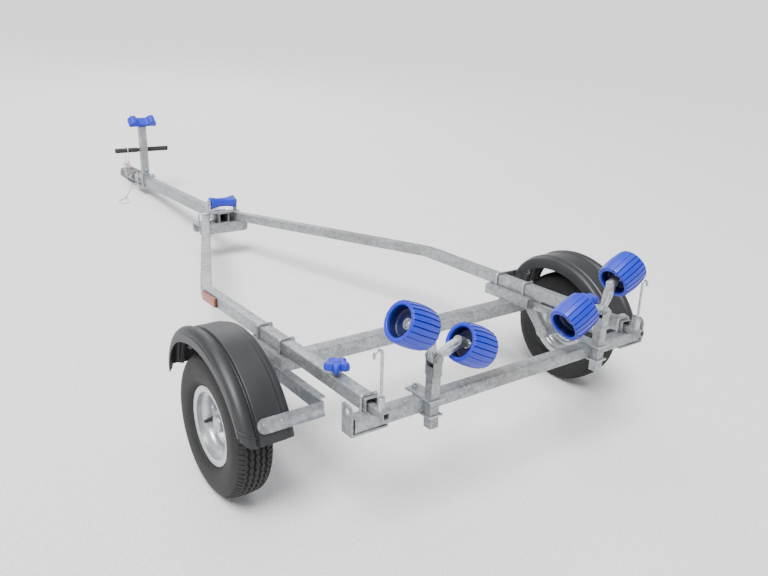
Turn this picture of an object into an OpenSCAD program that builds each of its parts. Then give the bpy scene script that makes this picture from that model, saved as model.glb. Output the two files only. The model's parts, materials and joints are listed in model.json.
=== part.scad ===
// Small galvanised boat trailer with ribbed rollers, standing nose down on its two wheels
// and its coupling. Modelled level about the wheel axis, then tipped into its parked pose.
// +X points forward to the coupling, +Y to the left, +Z up.

/* [Wheels] */
// Distance between the tyre centres
track = 1430; // [1390:5:1500]
// Outside diameter of the tyre
tyre_d = 420; // [395:5:440]
// Width of the tyre
tyre_w = 118; // [108:2:130]
// Outside diameter of the rim flanges
rim_d = 234; // [228:2:246]
// Diameter of the bead seat
bead_d = 203; // [198:1:206]
// Width between the rim flanges
rim_w = 82; // [74:2:90]
// Thickness of the rim metal
rim_t = 4; // [3:0.5:5]
// Diameter of the stub axle
stub_d = 30; // [25:1:34]
// Pitch circle of the wheel studs
stud_pcd = 100; // [96:1:108]
// Number of wheel studs
stud_n = 4; // [4:1:5]

/* [Frame] */
// Height of the frame's underside above the wheel axis
frame_h = 157; // [145:1:175]
// Outside size of the rail tube
rail_s = 40; // [38:1:45]
// Wall of all the square tubes
tube_t = 3; // [2:0.5:4]
// Distance between the rail centres
rail_gauge = 1003; // [960:1:1030]
// Rear end of the rails behind the wheel axis
rail_rear = 418; // [400:1:470]
// Bend of the rails ahead of the wheel axis
bend_x = 621; // [560:5:720]
// Front end of the rails ahead of the wheel axis
rail_front = 1640; // [1600:5:1700]
// Distance between the rail centres at their front ends
front_gauge = 136; // [130:1:170]
// Outside size of the drawbar tube
drawbar_s = 50; // [45:1:60]
// Rear end of the drawbar ahead of the wheel axis
drawbar_rear = 1557; // [1500:5:1570]
// Front end of the drawbar ahead of the wheel axis
drawbar_front = 2935; // [2900:5:3050]
// Depth of the front cross channel
channel_h = 50; // [42:1:60]
// Fore-and-aft width of the front cross channel
channel_w = 86; // [80:1:100]
// Length of the front cross channel
channel_l = 250; // [240:2:300]
// Thickness of plates and brackets
plate_t = 5; // [4:0.5:6]
// Diameter of the square clamp bolts
clamp_d = 8; // [7:0.5:10]

/* [Axle] */
// Outside size of the axle beam
axle_s = 49; // [45:1:55]
// Axle beam centre ahead of the wheel axis
axle_x = 89; // [80:1:110]
// Length of the axle beam
axle_l = 1150; // [1120:5:1165]
// Height of the saddles between axle and rails
saddle_h = 38; // [34:1:44]
// Length of the saddles
saddle_l = 220; // [200:5:260]
// Distance between the two clamp bolts of a saddle
saddle_bolts = 139; // [110:1:160]
// Width of the suspension arm along the axle
arm_w = 24; // [20:1:28]

/* [Rear] */
// Outside size of the rear crossmember
cross_s = 40; // [38:1:45]
// Length of the rear crossmember
cross_l = 1120; // [1090:5:1180]
// Crossmember centre behind the wheel axis
cross_x = 412; // [405:1:420]
// Height of the lashing plates
lash_h = 84; // [76:1:95]
// Width of the lashing plates
lash_w = 46; // [42:1:56]
// Diameter of the lashing hole
lash_hole = 20; // [16:1:24]
// Distance between the roller stems
stem_gauge = 660; // [620:5:700]
// Outside size of the roller stems
stem_s = 28; // [25:1:32]
// Top of the stems above the frame's underside
stem_top = 96; // [80:1:120]
// Bottom of the stems below the frame's underside
stem_low = 80; // [60:1:90]

/* [Rollers] */
// Largest diameter of a wobble roller
roller_d = 116; // [108:2:124]
// Diameter of a wobble roller at its ends
roller_end_d = 108; // [100:2:112]
// Length of a wobble roller
roller_l = 98; // [86:1:104]
// Diameter of the roller spindles
spindle_d = 18; // [16:1:20]
// Running clearance around spindles and pins
run_gap = 0.05; // [0.02:0.01:0.1]
// Half the gap between the two rollers of a swing arm
roller_in = 64; // [60:1:76]
// Height of the roller axis above the swing pivot
roller_up = 60; // [58:1:72]
// Height of the swing pivot above the frame's underside
pivot_up = 118; // [110:1:130]
// Sideways tilt of the swing arms at rest
swing_tilt = 26; // [18:1:30]
// Diameter of the swing pivot bolt
pivot_d = 14; // [12:1:16]
// Length of the keel roller
keel_l = 120; // [110:1:136]
// Diameter of the keel roller at its ends
keel_d = 60; // [54:1:66]
// Diameter of the keel roller at its waist
keel_waist = 42; // [36:1:48]
// Diameter of the keel roller pin
keel_pin_d = 14; // [12:1:18]
// Height of the keel roller axis above the drawbar
keel_up = 50; // [48:1:60]

/* [Post] */
// Rear face of the winch post ahead of the wheel axis
post_x = 2652; // [2600:5:2700]
// Outside size of the winch post tube
post_s = 40; // [36:1:45]
// Top of the winch post above the drawbar
post_h = 310; // [280:5:340]
// Width of the bow snubber
snub_w = 158; // [140:2:190]
// Fore-and-aft length of the bow snubber
snub_l = 52; // [46:1:64]
// Height of the bow snubber
snub_h = 44; // [34:1:52]
// Backward tilt of the bow snubber
snub_tilt = 45; // [20:1:50]
// Length of the pull handle
handle_l = 312; // [280:2:340]
// Diameter of the handle grips
grip_d = 28; // [24:1:32]
// Height of the pull handle above the drawbar
handle_up = 154; // [140:1:180]

/* [Coupling] */
// Centre of the ball socket ahead of the wheel axis
ball_x = 3050; // [3040:5:3130]
// Radius of the ball socket
ball_r = 25.4; // [25:0.1:26]
// Wall of the socket dome
dome_t = 6.6; // [5:0.1:8]
// Straight depth of the socket below the ball centre
socket_h = 12; // [9:1:16]

/* [Mudguards] */
// Radius of the mudguard's crown
guard_r = 309; // [302:1:320]
// Radius of the tighter bend at the mudguard's front
guard_nose = 169; // [160:1:180]
// Width of the mudguard
guard_w = 156; // [150:1:172]
// How far the mudguard's middle lies inboard of the tyre's
guard_in = 7; // [0:1:10]
// Thickness of the mudguard
guard_t = 4; // [3:0.5:6]
// Depth of the mudguard's sides
guard_lip = 20; // [16:1:28]
// Extra depth of the mudguard's outer side at its crown
guard_lip_more = 18; // [0:1:24]
// Angle of the mudguard's front edge on its front bend
guard_a0 = 2; // [0:1:12]
// Angle of the mudguard's rear edge above level
guard_a1 = 18; // [14:1:22]
// Radius of the mudguard's rear outer corner
guard_corner = 38; // [30:1:44]
// Width of the flat stay bars
stay_w = 40; // [34:1:46]
// Angle above level of the rear stay's middle
stay_a = 27; // [25:1:32]
// Angle above level of the front stay's middle on the front bend
stay_front_a = 20; // [14:1:26]

/* [Lighting board] */
// Size of the carrier tube
carrier_s = 20; // [18:1:22]
// How far the carrier stands out of the rail
carrier_out = 62; // [56:1:80]
// Length of the carrier hidden in the rail
carrier_in = 330; // [300:5:340]
// Diameter of the lighting board rods
rod_d = 8; // [6:1:10]
// Height of the lighting board rods
rod_h = 160; // [130:5:200]
// Distance of the star knobs ahead of the rail ends
knob_x = 164; // [120:1:175]
// Diameter of the star knobs
knob_d = 72; // [60:2:80]
// Diameter of the star knobs' screws
screw_d = 10; // [8:1:12]

/* [Safety cable] */
// Diameter of the safety cable
cable_d = 4; // [3:0.5:4]

/* [Reflectors] */
// Length of the side reflectors
refl_l = 112; // [90:2:130]
// Height of the side reflectors
refl_h = 36; // [30:1:38]

/* [Hidden] */
$fn = 48;
// levels above the wheel axis
z_frame = frame_h;
z_rail = frame_h + rail_s;
z_bar = frame_h + drawbar_s;
z_axle = frame_h - saddle_h;
wheel_r = tyre_d / 2;
rail_y = rail_gauge / 2;
// coupling: the front edge of the socket's rim touches the ground
ball_z = z_bar - 37;
dome_r = ball_r + dome_t;
nose_x = ball_x + dome_r;
nose_z = ball_z - socket_h;
nose_reach = sqrt(nose_x * nose_x + nose_z * nose_z);
park = atan2(nose_z, nose_x) + asin(wheel_r / nose_reach);
// middle of the parked length, from the rearmost roller to the coupling's dome
pivot_z = frame_h + pivot_up;
stem_x = -cross_x - cross_s / 2 - stem_s / 2;
stem_y = stem_gauge / 2;
low_roller = [stem_x, pivot_z + roller_up * cos(swing_tilt)
    - (roller_in + roller_l / 2) * sin(swing_tilt)];
origin_x = (([ball_x, ball_z] + low_roller) * [cos(park), sin(park)] + dome_r - roller_d / 2) / 2;
steel = [0.72, 0.74, 0.75];
bright = [0.8, 0.82, 0.84];
blue = [0.12, 0.28, 0.85];
black = [0.08, 0.08, 0.09];

// Tips the level model nose down about the wheel axis and sets it on the ground.
module parked() {
    translate([-origin_x, 0, wheel_r]) rotate([0, park, 0]) children();
}

// Square tube along X from x0 to x1, centred on y, with its underside at z.
module tube_x(x0, x1, y, z, s, t) {
    difference() {
        translate([x0, y - s / 2, z]) cube([x1 - x0, s, s]);
        translate([x0 - 1, y - s / 2 + t, z + t]) cube([x1 - x0 + 2, s - 2 * t, s - 2 * t]);
    }
}

// Square tube along Y, centred on the middle plane.
module tube_y(len, x, z, s, t) {
    difference() {
        translate([x - s / 2, -len / 2, z]) cube([s, len, s]);
        translate([x - s / 2 + t, -len / 2 - 1, z + t]) cube([s - 2 * t, len + 2, s - 2 * t]);
    }
}

// Square tube along Z.
module tube_z(x, y, z0, z1, s, t) {
    difference() {
        translate([x - s / 2, y - s / 2, z0]) cube([s, s, z1 - z0]);
        translate([x - s / 2 + t, y - s / 2 + t, z0 - 1]) cube([s - 2 * t, s - 2 * t, z1 - z0 + 2]);
    }
}

// Square clamp bolt over a tube of width s whose top is at the origin. Its legs reach down
// through a plate whose underside lies at -drop, where its nuts sit.
module clamp_bolt(s, drop) {
    leg = s / 2 + clamp_d / 2 + 0.5;
    for (i = [-1, 1]) {
        translate([0, i * leg, -drop - 12]) cylinder(d = clamp_d, h = drop + 12 + clamp_d);
        translate([0, i * leg, -drop - 8]) cylinder(d = clamp_d + 7, h = 8, $fn = 6);
    }
    translate([0, leg, clamp_d / 2]) rotate([90, 0, 0])
        cylinder(d = clamp_d - 0.6, h = 2 * leg);
}

// Holes for the two legs of a clamp bolt.
module clamp_holes(s, z0, z1) {
    leg = s / 2 + clamp_d / 2 + 0.5;
    for (i = [-1, 1])
        translate([0, i * leg, z0]) cylinder(d = clamp_d + 1, h = z1 - z0);
}

// ---- frame ----
module drawbar() {
    color(steel) parked()
        tube_x(drawbar_rear, drawbar_front, 0, z_frame, drawbar_s, tube_t);
}

rail_turn = atan2((rail_gauge - front_gauge) / 2, rail_front - bend_x);
// Outline of a bent rail, g either side of its centre line and e past its ends.
function rail_path(g, e) = let (
    m = g * tan(rail_turn / 2),
    c = g / cos(rail_turn),
    y = front_gauge / 2 - e * tan(rail_turn)) [
    [-rail_rear - e, rail_y + g],
    [bend_x + m, rail_y + g],
    [rail_front + e, y + c],
    [rail_front + e, y - c],
    [bend_x - m, rail_y - g],
    [-rail_rear - e, rail_y - g]];

module side_rail() {
    difference() {
        translate([0, 0, z_frame]) linear_extrude(rail_s) polygon(rail_path(rail_s / 2, 0));
        translate([0, 0, z_frame + tube_t]) linear_extrude(rail_s - 2 * tube_t)
            polygon(rail_path(rail_s / 2 - tube_t, 1));
        translate([knob_x - rail_rear, rail_y, z_rail - tube_t - 1])
            cylinder(d = screw_d + 2 * run_gap, h = tube_t + 2);
    }
}
module side_rail_left() { color(steel) parked() side_rail(); }
module side_rail_right() { color(steel) parked() mirror([0, 1, 0]) side_rail(); }

channel_x = drawbar_rear + 8;
clamp_x = channel_x + channel_w / 2;
clamp_y = front_gauge / 2 + (rail_front - clamp_x) * tan(rail_turn);
channel_end = 16;
module front_channel() {
    y = channel_l / 2;
    color(steel) parked() difference() {
        translate([channel_x, 0, z_frame]) rotate([90, 0, 90]) linear_extrude(channel_w)
            polygon(concat([[y, 0], [-y, 0]],
                [for (a = [180:15:270]) [channel_end - y, channel_end - channel_h]
                    + channel_end * [cos(a), sin(a)]],
                [for (a = [270:15:360]) [y - channel_end, channel_end - channel_h]
                    + channel_end * [cos(a), sin(a)]]));
        translate([channel_x + plate_t, -y - 1, z_frame - channel_h - 1])
            cube([channel_w - 2 * plate_t, channel_l + 2, channel_h - plate_t + 1]);
        translate([clamp_x, 0, 0]) clamp_holes(drawbar_s, z_frame - plate_t - 1, z_frame + 1);
        for (i = [-1, 1])
            translate([clamp_x, i * clamp_y, 0]) rotate([0, 0, -i * rail_turn])
                clamp_holes(rail_s, z_frame - plate_t - 1, z_frame + 1);
    }
}
module front_clamps() {
    color(bright) parked() {
        translate([clamp_x, 0, z_bar]) clamp_bolt(drawbar_s, drawbar_s + plate_t);
        for (i = [-1, 1])
            translate([clamp_x, i * clamp_y, z_rail]) rotate([0, 0, -i * rail_turn])
                clamp_bolt(rail_s, rail_s + plate_t);
    }
}

// ---- axle ----
module axle_beam() {
    color(steel) parked() tube_y(axle_l, axle_x, z_axle - axle_s, axle_s, tube_t + 1);
}

saddle_top = rail_s / 2 + clamp_d + 8.5;
saddle_low = saddle_top + 5.5;
module saddle_shape(g) {
    polygon([[-saddle_low + g, -1 - g], [-saddle_low + g, saddle_h - 11],
        [-saddle_top + g, saddle_h - g], [saddle_top - g, saddle_h - g],
        [saddle_low - g, saddle_h - 11], [saddle_low - g, -1 - g]]);
}
// Folded saddle, open below, that stands on the axle and carries a rail.
module axle_saddle() {
    translate([axle_x, rail_y, z_axle]) difference() {
        translate([-saddle_l / 2, 0, 0]) rotate([90, 0, 90]) linear_extrude(saddle_l)
            intersection() {
                saddle_shape(0);
                translate([-60, 0]) square([120, 100]);
            }
        translate([-saddle_l / 2 - 1, 0, 0]) rotate([90, 0, 90]) linear_extrude(saddle_l + 2)
            saddle_shape(4);
        for (i = [-1, 1])
            translate([i * saddle_bolts / 2, 0, 0]) clamp_holes(rail_s, saddle_h - 6, saddle_h + 1);
    }
}
module axle_saddle_left() { color(steel) parked() axle_saddle(); }
module axle_saddle_right() { color(steel) parked() mirror([0, 1, 0]) axle_saddle(); }

module axle_clamps() {
    for (i = [-1, 1])
        translate([axle_x + i * saddle_bolts / 2, rail_y, z_rail])
            clamp_bolt(rail_s, rail_s + 4);
}
module axle_clamps_left() { color(bright) parked() axle_clamps(); }
module axle_clamps_right() { color(bright) parked() mirror([0, 1, 0]) axle_clamps(); }

// Trailing arm: a boss on the axle's end, an arm down to the stub axle, and the stub.
hub_in = track / 2 - 52;
module suspension_arm() {
    z0 = z_axle - axle_s / 2;
    reach = sqrt(axle_x * axle_x + z0 * z0);
    rotate([-90, 0, 0]) translate([0, 0, axle_l / 2]) {
        translate([axle_x, -z0, 0]) cylinder(r = 32, h = arm_w);
        rotate([0, 0, -atan2(z0, axle_x)]) translate([0, -22, 1])
            cube([reach, 44, arm_w - 2]);
        cylinder(r = 27, h = arm_w);
        cylinder(d = stub_d, h = hub_in + 66 - axle_l / 2);
        cylinder(d = stub_d + 14, h = hub_in - 5 - axle_l / 2);
    }
}
module suspension_arm_left() { color(steel) parked() suspension_arm(); }
module suspension_arm_right() { color(steel) parked() mirror([0, 1, 0]) suspension_arm(); }

// ---- wheels, turned about Y at the tyre's centre ----
module about_y(side) {
    translate([0, side * track / 2, 0]) rotate([-90 * side, 0, 0]) children();
}
tyre_half = tyre_w / 2;
module tyre() {
    rotate_extrude($fn = 96) difference() {
        polygon([[bead_d / 2, -rim_w / 2], [rim_d / 2 + 2, -rim_w / 2],
            [rim_d / 2 + 10, -tyre_half + 7], [wheel_r - 52, -tyre_half],
            [wheel_r - 36, -tyre_half + 1], [wheel_r - 20, -tyre_half + 5],
            [wheel_r - 8, -tyre_half + 14], [wheel_r - 2, -tyre_half + 27],
            [wheel_r, -tyre_half + 42], [wheel_r, tyre_half - 42],
            [wheel_r - 2, tyre_half - 27], [wheel_r - 8, tyre_half - 14],
            [wheel_r - 20, tyre_half - 5], [wheel_r - 36, tyre_half - 1],
            [wheel_r - 52, tyre_half], [rim_d / 2 + 10, tyre_half - 7],
            [rim_d / 2 + 2, rim_w / 2], [bead_d / 2, rim_w / 2]]);
        polygon([[bead_d / 2 - 1, -rim_w / 2 + 12], [rim_d / 2 + 8, -rim_w / 2 + 8],
            [wheel_r - 50, -tyre_half + 8], [wheel_r - 24, -tyre_half + 16],
            [wheel_r - 12, -tyre_half + 40], [wheel_r - 12, tyre_half - 40],
            [wheel_r - 24, tyre_half - 16], [wheel_r - 50, tyre_half - 8],
            [rim_d / 2 + 8, rim_w / 2 - 8], [bead_d / 2 - 1, rim_w / 2 - 12]]);
    }
}
module tyre_left() { color(black) parked() about_y(1) tyre(); }
module tyre_right() { color(black) parked() about_y(-1) tyre(); }

hub_r = 34;
disc_z = 2;
// Rim barrel with bead seats and drop centre, and a dished disc.
module rim() {
    br = bead_d / 2;
    rw = rim_w / 2;
    difference() {
        union() {
            rotate_extrude($fn = 96) polygon([
                [br - rim_t, -rw - rim_t], [rim_d / 2, -rw - rim_t], [rim_d / 2, -rw], [br, -rw],
                [br, -rw + 16], [br - 14, -rw + 22], [br - 14, rw - 22], [br, rw - 16],
                [br, rw], [rim_d / 2, rw], [rim_d / 2, rw + rim_t], [br - rim_t, rw + rim_t],
                [br - rim_t, rw - 16], [br - 14 - rim_t, rw - 22],
                [br - 14 - rim_t, -rw + 22], [br - rim_t, -rw + 16]]);
            rotate_extrude($fn = 96) polygon([[hub_r - 6, disc_z], [68, disc_z],
                [74, disc_z - 6], [br - 14 - rim_t + 1, disc_z - 6],
                [br - 14 - rim_t + 1, disc_z - 1], [77, disc_z - 1], [70, disc_z + 5],
                [hub_r - 6, disc_z + 5]]);
        }
        for (i = [0:stud_n - 1]) rotate([0, 0, 45 + i * 360 / stud_n])
            translate([stud_pcd / 2, 0, disc_z - 10]) cylinder(d = 14, h = 24);
    }
}
module rim_left() { color(bright) parked() about_y(1) rim(); }
module rim_right() { color(bright) parked() about_y(-1) rim(); }

// Hub with flange, studs, nuts and a closed cap outside; its bore runs on the stub axle.
module hub() {
    difference() {
        union() {
            translate([0, 0, -48]) cylinder(r = hub_r - 4, h = 44);
            translate([0, 0, disc_z - 8]) cylinder(d = stud_pcd + 30, h = 8);
            translate([0, 0, disc_z - 4]) cylinder(r = hub_r - 6.5, h = 30);
            for (i = [0:stud_n - 1]) rotate([0, 0, 45 + i * 360 / stud_n])
                translate([stud_pcd / 2, 0, disc_z - 2]) {
                    cylinder(d = 12, h = 22);
                    translate([0, 0, 7]) cylinder(d = 21, h = 10, $fn = 6);
                }
        }
        translate([0, 0, -60]) cylinder(d = stub_d + 2 * run_gap, h = 78);
    }
}
module hub_left() { color(bright) parked() about_y(1) hub(); }
module hub_right() { color(bright) parked() about_y(-1) hub(); }

// ---- mudguards: a long crown arc and a tighter front bend, tangent where they meet ----
guard_x = 23;
guard_z = -36;
bend_a = 70;
front_cx = guard_x + (guard_r - guard_nose) * cos(bend_a);
front_cz = guard_z + (guard_r - guard_nose) * sin(bend_a);
guard_y = track / 2 - guard_in;
guard_h = guard_w / 2;
// Outer face of the guard across its width, as [height over the crown, distance outboard]: a
// rolled outer shoulder, a groove, a flat band, a step and the inner wall.
guard_face = [[-guard_lip, guard_h], [-8, guard_h - 1], [-1, guard_h - 6], [4, guard_h - 15],
    [5, guard_h - 25], [3, guard_h - 34], [-3, guard_h - 40], [-7, guard_h - 44],
    [-7, guard_h - 46], [0, guard_h - 51], [0, -guard_h + 32], [-4, -guard_h + 28],
    [-4, -guard_h + 17], [-8, -guard_h + 7], [-16, -guard_h + 2], [-46, -guard_h]];
function face_step(k) = guard_face[min(k + 1, len(guard_face) - 1)] - guard_face[max(k - 1, 0)];
function face_inside(k) = let (d = face_step(k))
    guard_face[k] + guard_t / norm(d) * [d[1], -d[0]];
// How far the rounded rear outer corner cuts the guard short at y.
function corner_cut(y) = let (w = max(y - guard_h + guard_corner, 0))
    guard_corner - sqrt(max(pow(guard_corner, 2) - w * w, 0));
front_rows = 9;
rear_rows = 20;
// Angle of row i on the line across the guard at y.
function row_angle(i, y) = let (
    first = guard_a0 - (y > guard_h - 16 ? 5 : 0),
    last = 180 - guard_a1 - corner_cut(y) / guard_r * 180 / PI)
    i < front_rows ? first + (bend_a - first) * i / front_rows
        : bend_a + (last - bend_a) * (i - front_rows) / rear_rows;
function guard_point(a, h, y) = a < bend_a
    ? [front_cx + (guard_nose + h) * cos(a), guard_y + y, front_cz + (guard_nose + h) * sin(a)]
    : [guard_x + (guard_r + h) * cos(a), guard_y + y, guard_z + (guard_r + h) * sin(a)];
// A sheet with an outer and an inner face, as rows of points along the two bends.
module mudguard() {
    n = len(guard_face);
    rows = front_rows + rear_rows;
    points = [for (i = [0:rows], side = [0, 1], k = [0:n - 1]) let (
        y = guard_face[k][1],
        a = row_angle(i, y),
        more = k == 0 ? guard_lip_more * pow(sin(a), 2) : 0,
        q = side == 0 ? guard_face[k] : face_inside(k))
        guard_point(a, q[0] - more, q[1])];
    function at(i, side, k) = (i * 2 + side) * n + k;
    polyhedron(points, concat(
        [for (i = [0:rows - 1], k = [0:n - 2])
            [at(i, 0, k), at(i, 0, k + 1), at(i + 1, 0, k + 1), at(i + 1, 0, k)]],
        [for (i = [0:rows - 1], k = [0:n - 2])
            [at(i, 1, k + 1), at(i, 1, k), at(i + 1, 1, k), at(i + 1, 1, k + 1)]],
        [for (i = [0:rows - 1]) [at(i, 1, 0), at(i, 0, 0), at(i + 1, 0, 0), at(i + 1, 1, 0)]],
        [for (i = [0:rows - 1])
            [at(i, 0, n - 1), at(i, 1, n - 1), at(i + 1, 1, n - 1), at(i + 1, 0, n - 1)]],
        [for (k = [0:n - 2]) [at(0, 0, k + 1), at(0, 0, k), at(0, 1, k), at(0, 1, k + 1)]],
        [for (k = [0:n - 2])
            [at(rows, 0, k), at(rows, 0, k + 1), at(rows, 1, k + 1), at(rows, 1, k)]]),
        convexity = 6);
}
module mudguard_left() { color(black) parked() mudguard(); }
module mudguard_right() { color(black) parked() mirror([0, 1, 0]) mudguard(); }

// Angle bars from the saddle to the guard's front and rear, each ending in a flat cross bar
// that lies on the guard's crown.
stay_y = rail_y + saddle_low;
stay_reach = track / 2 + 2 - stay_y;
module stay_end(x, z, r, a) {
    translate([x, 0, z]) rotate([0, -a, 0]) translate([r, stay_y, -stay_w / 2]) {
        cube([plate_t, stay_reach, stay_w]);
        translate([0, stay_reach, stay_w / 2]) rotate([0, 90, 0])
            cylinder(d = stay_w, h = plate_t);
    }
}
module guard_stays() {
    r = guard_r + plate_t;
    z1 = guard_z + r * sin(stay_a) - stay_w / 2 + 2;
    x1 = guard_x - r * cos(stay_a) - 3;
    rn = guard_nose + plate_t;
    z2 = front_cz + rn * sin(stay_front_a);
    x2 = front_cx + rn * cos(stay_front_a);
    stay_end(guard_x, guard_z, guard_r, 180 - stay_a);
    translate([x1, stay_y, z1]) cube([axle_x - saddle_l / 2 + 40 - x1, plate_t, stay_w]);
    translate([x1 + 26, stay_y - 20, z1 + stay_w - plate_t])
        cube([axle_x - saddle_l / 2 - 30 - x1, 21, plate_t]);
    stay_end(front_cx, front_cz, guard_nose, stay_front_a);
    translate([axle_x + saddle_l / 2 - 60, stay_y, z_axle + 2])
        cube([x2 + 6 - axle_x - saddle_l / 2 + 60, plate_t, saddle_h - 13]);
    translate([x2 - 14, stay_y, z_axle + 2]) cube([20, plate_t, z2 - z_axle - 4]);
}
module guard_stays_left() { color(bright) parked() guard_stays(); }
module guard_stays_right() { color(bright) parked() mirror([0, 1, 0]) guard_stays(); }

// ---- keel roller on the drawbar's rear end ----
keel_x = drawbar_rear + 22;
keel_z = z_bar + keel_up;
ear_y = keel_l / 2 + 5;
module keel_bracket() {
    color(steel) parked() difference() {
        union() {
            translate([keel_x - 19, -ear_y - 4, z_bar]) cube([38, 2 * ear_y + 8, plate_t]);
            for (y = [-ear_y - 4, ear_y]) {
                translate([keel_x - 19, y, z_bar + 1]) cube([38, 4, keel_up - 1]);
                translate([keel_x, y, keel_z]) rotate([-90, 0, 0]) cylinder(r = 19, h = 4);
            }
        }
        translate([keel_x, -ear_y - 6, keel_z]) rotate([-90, 0, 0])
            cylinder(d = keel_pin_d + 2 * run_gap, h = 2 * ear_y + 12);
    }
}
module keel_pin() {
    color(bright) parked() translate([keel_x, 0, keel_z]) rotate([-90, 0, 0]) {
        translate([0, 0, -ear_y - 12]) cylinder(d = keel_pin_d, h = 2 * ear_y + 24);
        translate([0, 0, -ear_y - 11]) cylinder(d = keel_pin_d + 10, h = 7, $fn = 6);
        translate([0, 0, ear_y + 4]) cylinder(d = keel_pin_d + 10, h = 7, $fn = 6);
    }
}
module keel_roller() {
    n = 8;
    color(blue) parked() translate([keel_x, 0, keel_z]) rotate([-90, 0, 0])
        rotate_extrude($fn = 64) polygon(concat(
            [[keel_pin_d / 2 + run_gap, -keel_l / 2]],
            [for (i = [-n:n]) [keel_waist / 2 + (keel_d - keel_waist) / 2 * pow(i / n, 2),
                i * keel_l / 2 / n]],
            [[keel_pin_d / 2 + run_gap, keel_l / 2]]));
}

// ---- winch post ----
post_cx = post_x + post_s / 2;
post_top = z_bar + post_h;
module winch_post() {
    color(steel) parked() difference() {
        tube_z(post_cx, 0, z_bar + plate_t, post_top + post_s, post_s, tube_t);
        translate([post_cx, 0, post_top]) rotate([0, -snub_tilt, 0])
            translate([-100, -100, 0]) cube([200, 200, 200]);
    }
}
module post_clamp() {
    y = drawbar_s / 2 + 8;
    color(steel) parked() {
        for (z = [z_frame - plate_t, z_bar])
            translate([post_x - 40, -y - 10, z]) cube([post_s + 80, 2 * y + 20, plate_t]);
        for (i = [-1, 1], j = [-1, 1])
            translate([post_cx + i * (post_s / 2 + 24), j * y, 0]) {
                translate([0, 0, z_frame - 18]) cylinder(d = 10, h = drawbar_s + 36);
                translate([0, 0, z_frame - plate_t - 8]) cylinder(d = 17, h = 8.5, $fn = 6);
                translate([0, 0, z_bar + plate_t - 0.5]) cylinder(d = 17, h = 7, $fn = 6);
            }
    }
}
// Height of the notch the stem rests in, as a share of the snubber's height.
snub_notch = 0.52;
module bow_snubber() {
    w = snub_w / 2;
    h = snub_h;
    color(blue) parked() translate([post_cx, 0, post_top]) rotate([0, -snub_tilt, 0])
        translate([-snub_l / 2, 0, 0]) rotate([90, 0, 90]) linear_extrude(snub_l)
            polygon([[-w, 0], [w, 0], [w, h * 0.4], [w * 0.82, h], [w * 0.54, h],
                [w * 0.3, h * snub_notch], [-w * 0.3, h * snub_notch], [-w * 0.54, h], [-w * 0.82, h],
                [-w, h * 0.4]]);
}
handle_d = grip_d - 7;
handle_cx = post_x + post_s + handle_d / 2;
module pull_handle() {
    color(black) parked() translate([handle_cx, -handle_l / 2 + 4, z_bar + handle_up])
        rotate([-90, 0, 0]) cylinder(d = handle_d, h = handle_l - 8);
}
module handle_grips() {
    color(black) parked() for (i = [-1, 1])
        translate([handle_cx, 0, z_bar + handle_up]) rotate([-90 * i, 0, 0])
            difference() {
                translate([0, 0, post_s / 2 + 6]) cylinder(d = grip_d, h = handle_l / 2 - post_s / 2 - 6);
                cylinder(d = handle_d + 2 * run_gap, h = handle_l / 2 - 3.9);
            }
}

// ---- coupling ----
sleeve_x = drawbar_front - 125;
module coupling_body() {
    n = 10;
    color([0.3, 0.31, 0.33]) parked() difference() {
        union() {
            // dome
            translate([ball_x, 0, ball_z]) rotate_extrude($fn = 64) polygon(concat(
                [[0, -socket_h], [dome_r, -socket_h]],
                [for (i = [0:n]) dome_r * [cos(i * 90 / n), sin(i * 90 / n)]]));
            // neck
            translate([0, 28, 0]) rotate([90, 0, 0]) linear_extrude(56) polygon([
                [drawbar_front + 1, nose_z], [ball_x, nose_z], [ball_x, ball_z + dome_r - 4],
                [ball_x - 40, z_bar + 2], [ball_x - 70, z_bar + plate_t],
                [drawbar_front + 1, z_bar + plate_t]]);
            // sleeve over the drawbar's front end
            translate([sleeve_x, -drawbar_s / 2 - plate_t - 0.5, z_frame])
                cube([drawbar_front + 6 - sleeve_x, drawbar_s + 2 * plate_t + 1, drawbar_s + plate_t]);
        }
        // room for the drawbar
        translate([sleeve_x - 1, -drawbar_s / 2, z_frame - 1])
            cube([drawbar_front + 1 - sleeve_x, drawbar_s, drawbar_s + 1]);
        // hollow of the neck
        translate([drawbar_front + 8, -23, nose_z - 10])
            cube([ball_x - dome_r - drawbar_front - 10, 46, z_bar - nose_z + 8]);
        // ball socket
        translate([ball_x, 0, ball_z]) rotate_extrude($fn = 64) polygon(concat(
            [[0, -socket_h - 1], [ball_r, -socket_h - 1]],
            [for (i = [0:n]) ball_r * [cos(i * 90 / n), sin(i * 90 / n)]]));
    }
}
module coupling_lever() {
    x = ball_x - 70;
    z = z_bar + plate_t;
    color(steel) parked() translate([0, 13, 0]) rotate([90, 0, 0]) linear_extrude(26)
        polygon([[x - 40, z], [x, z], [x + 4, z + 8], [ball_x - 20, z + 14], [ball_x + 8, z + 8],
            [ball_x + 9, z + 13], [ball_x - 18, z + 20], [x - 6, z + 15], [x - 44, z + 6]]);
}

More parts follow.
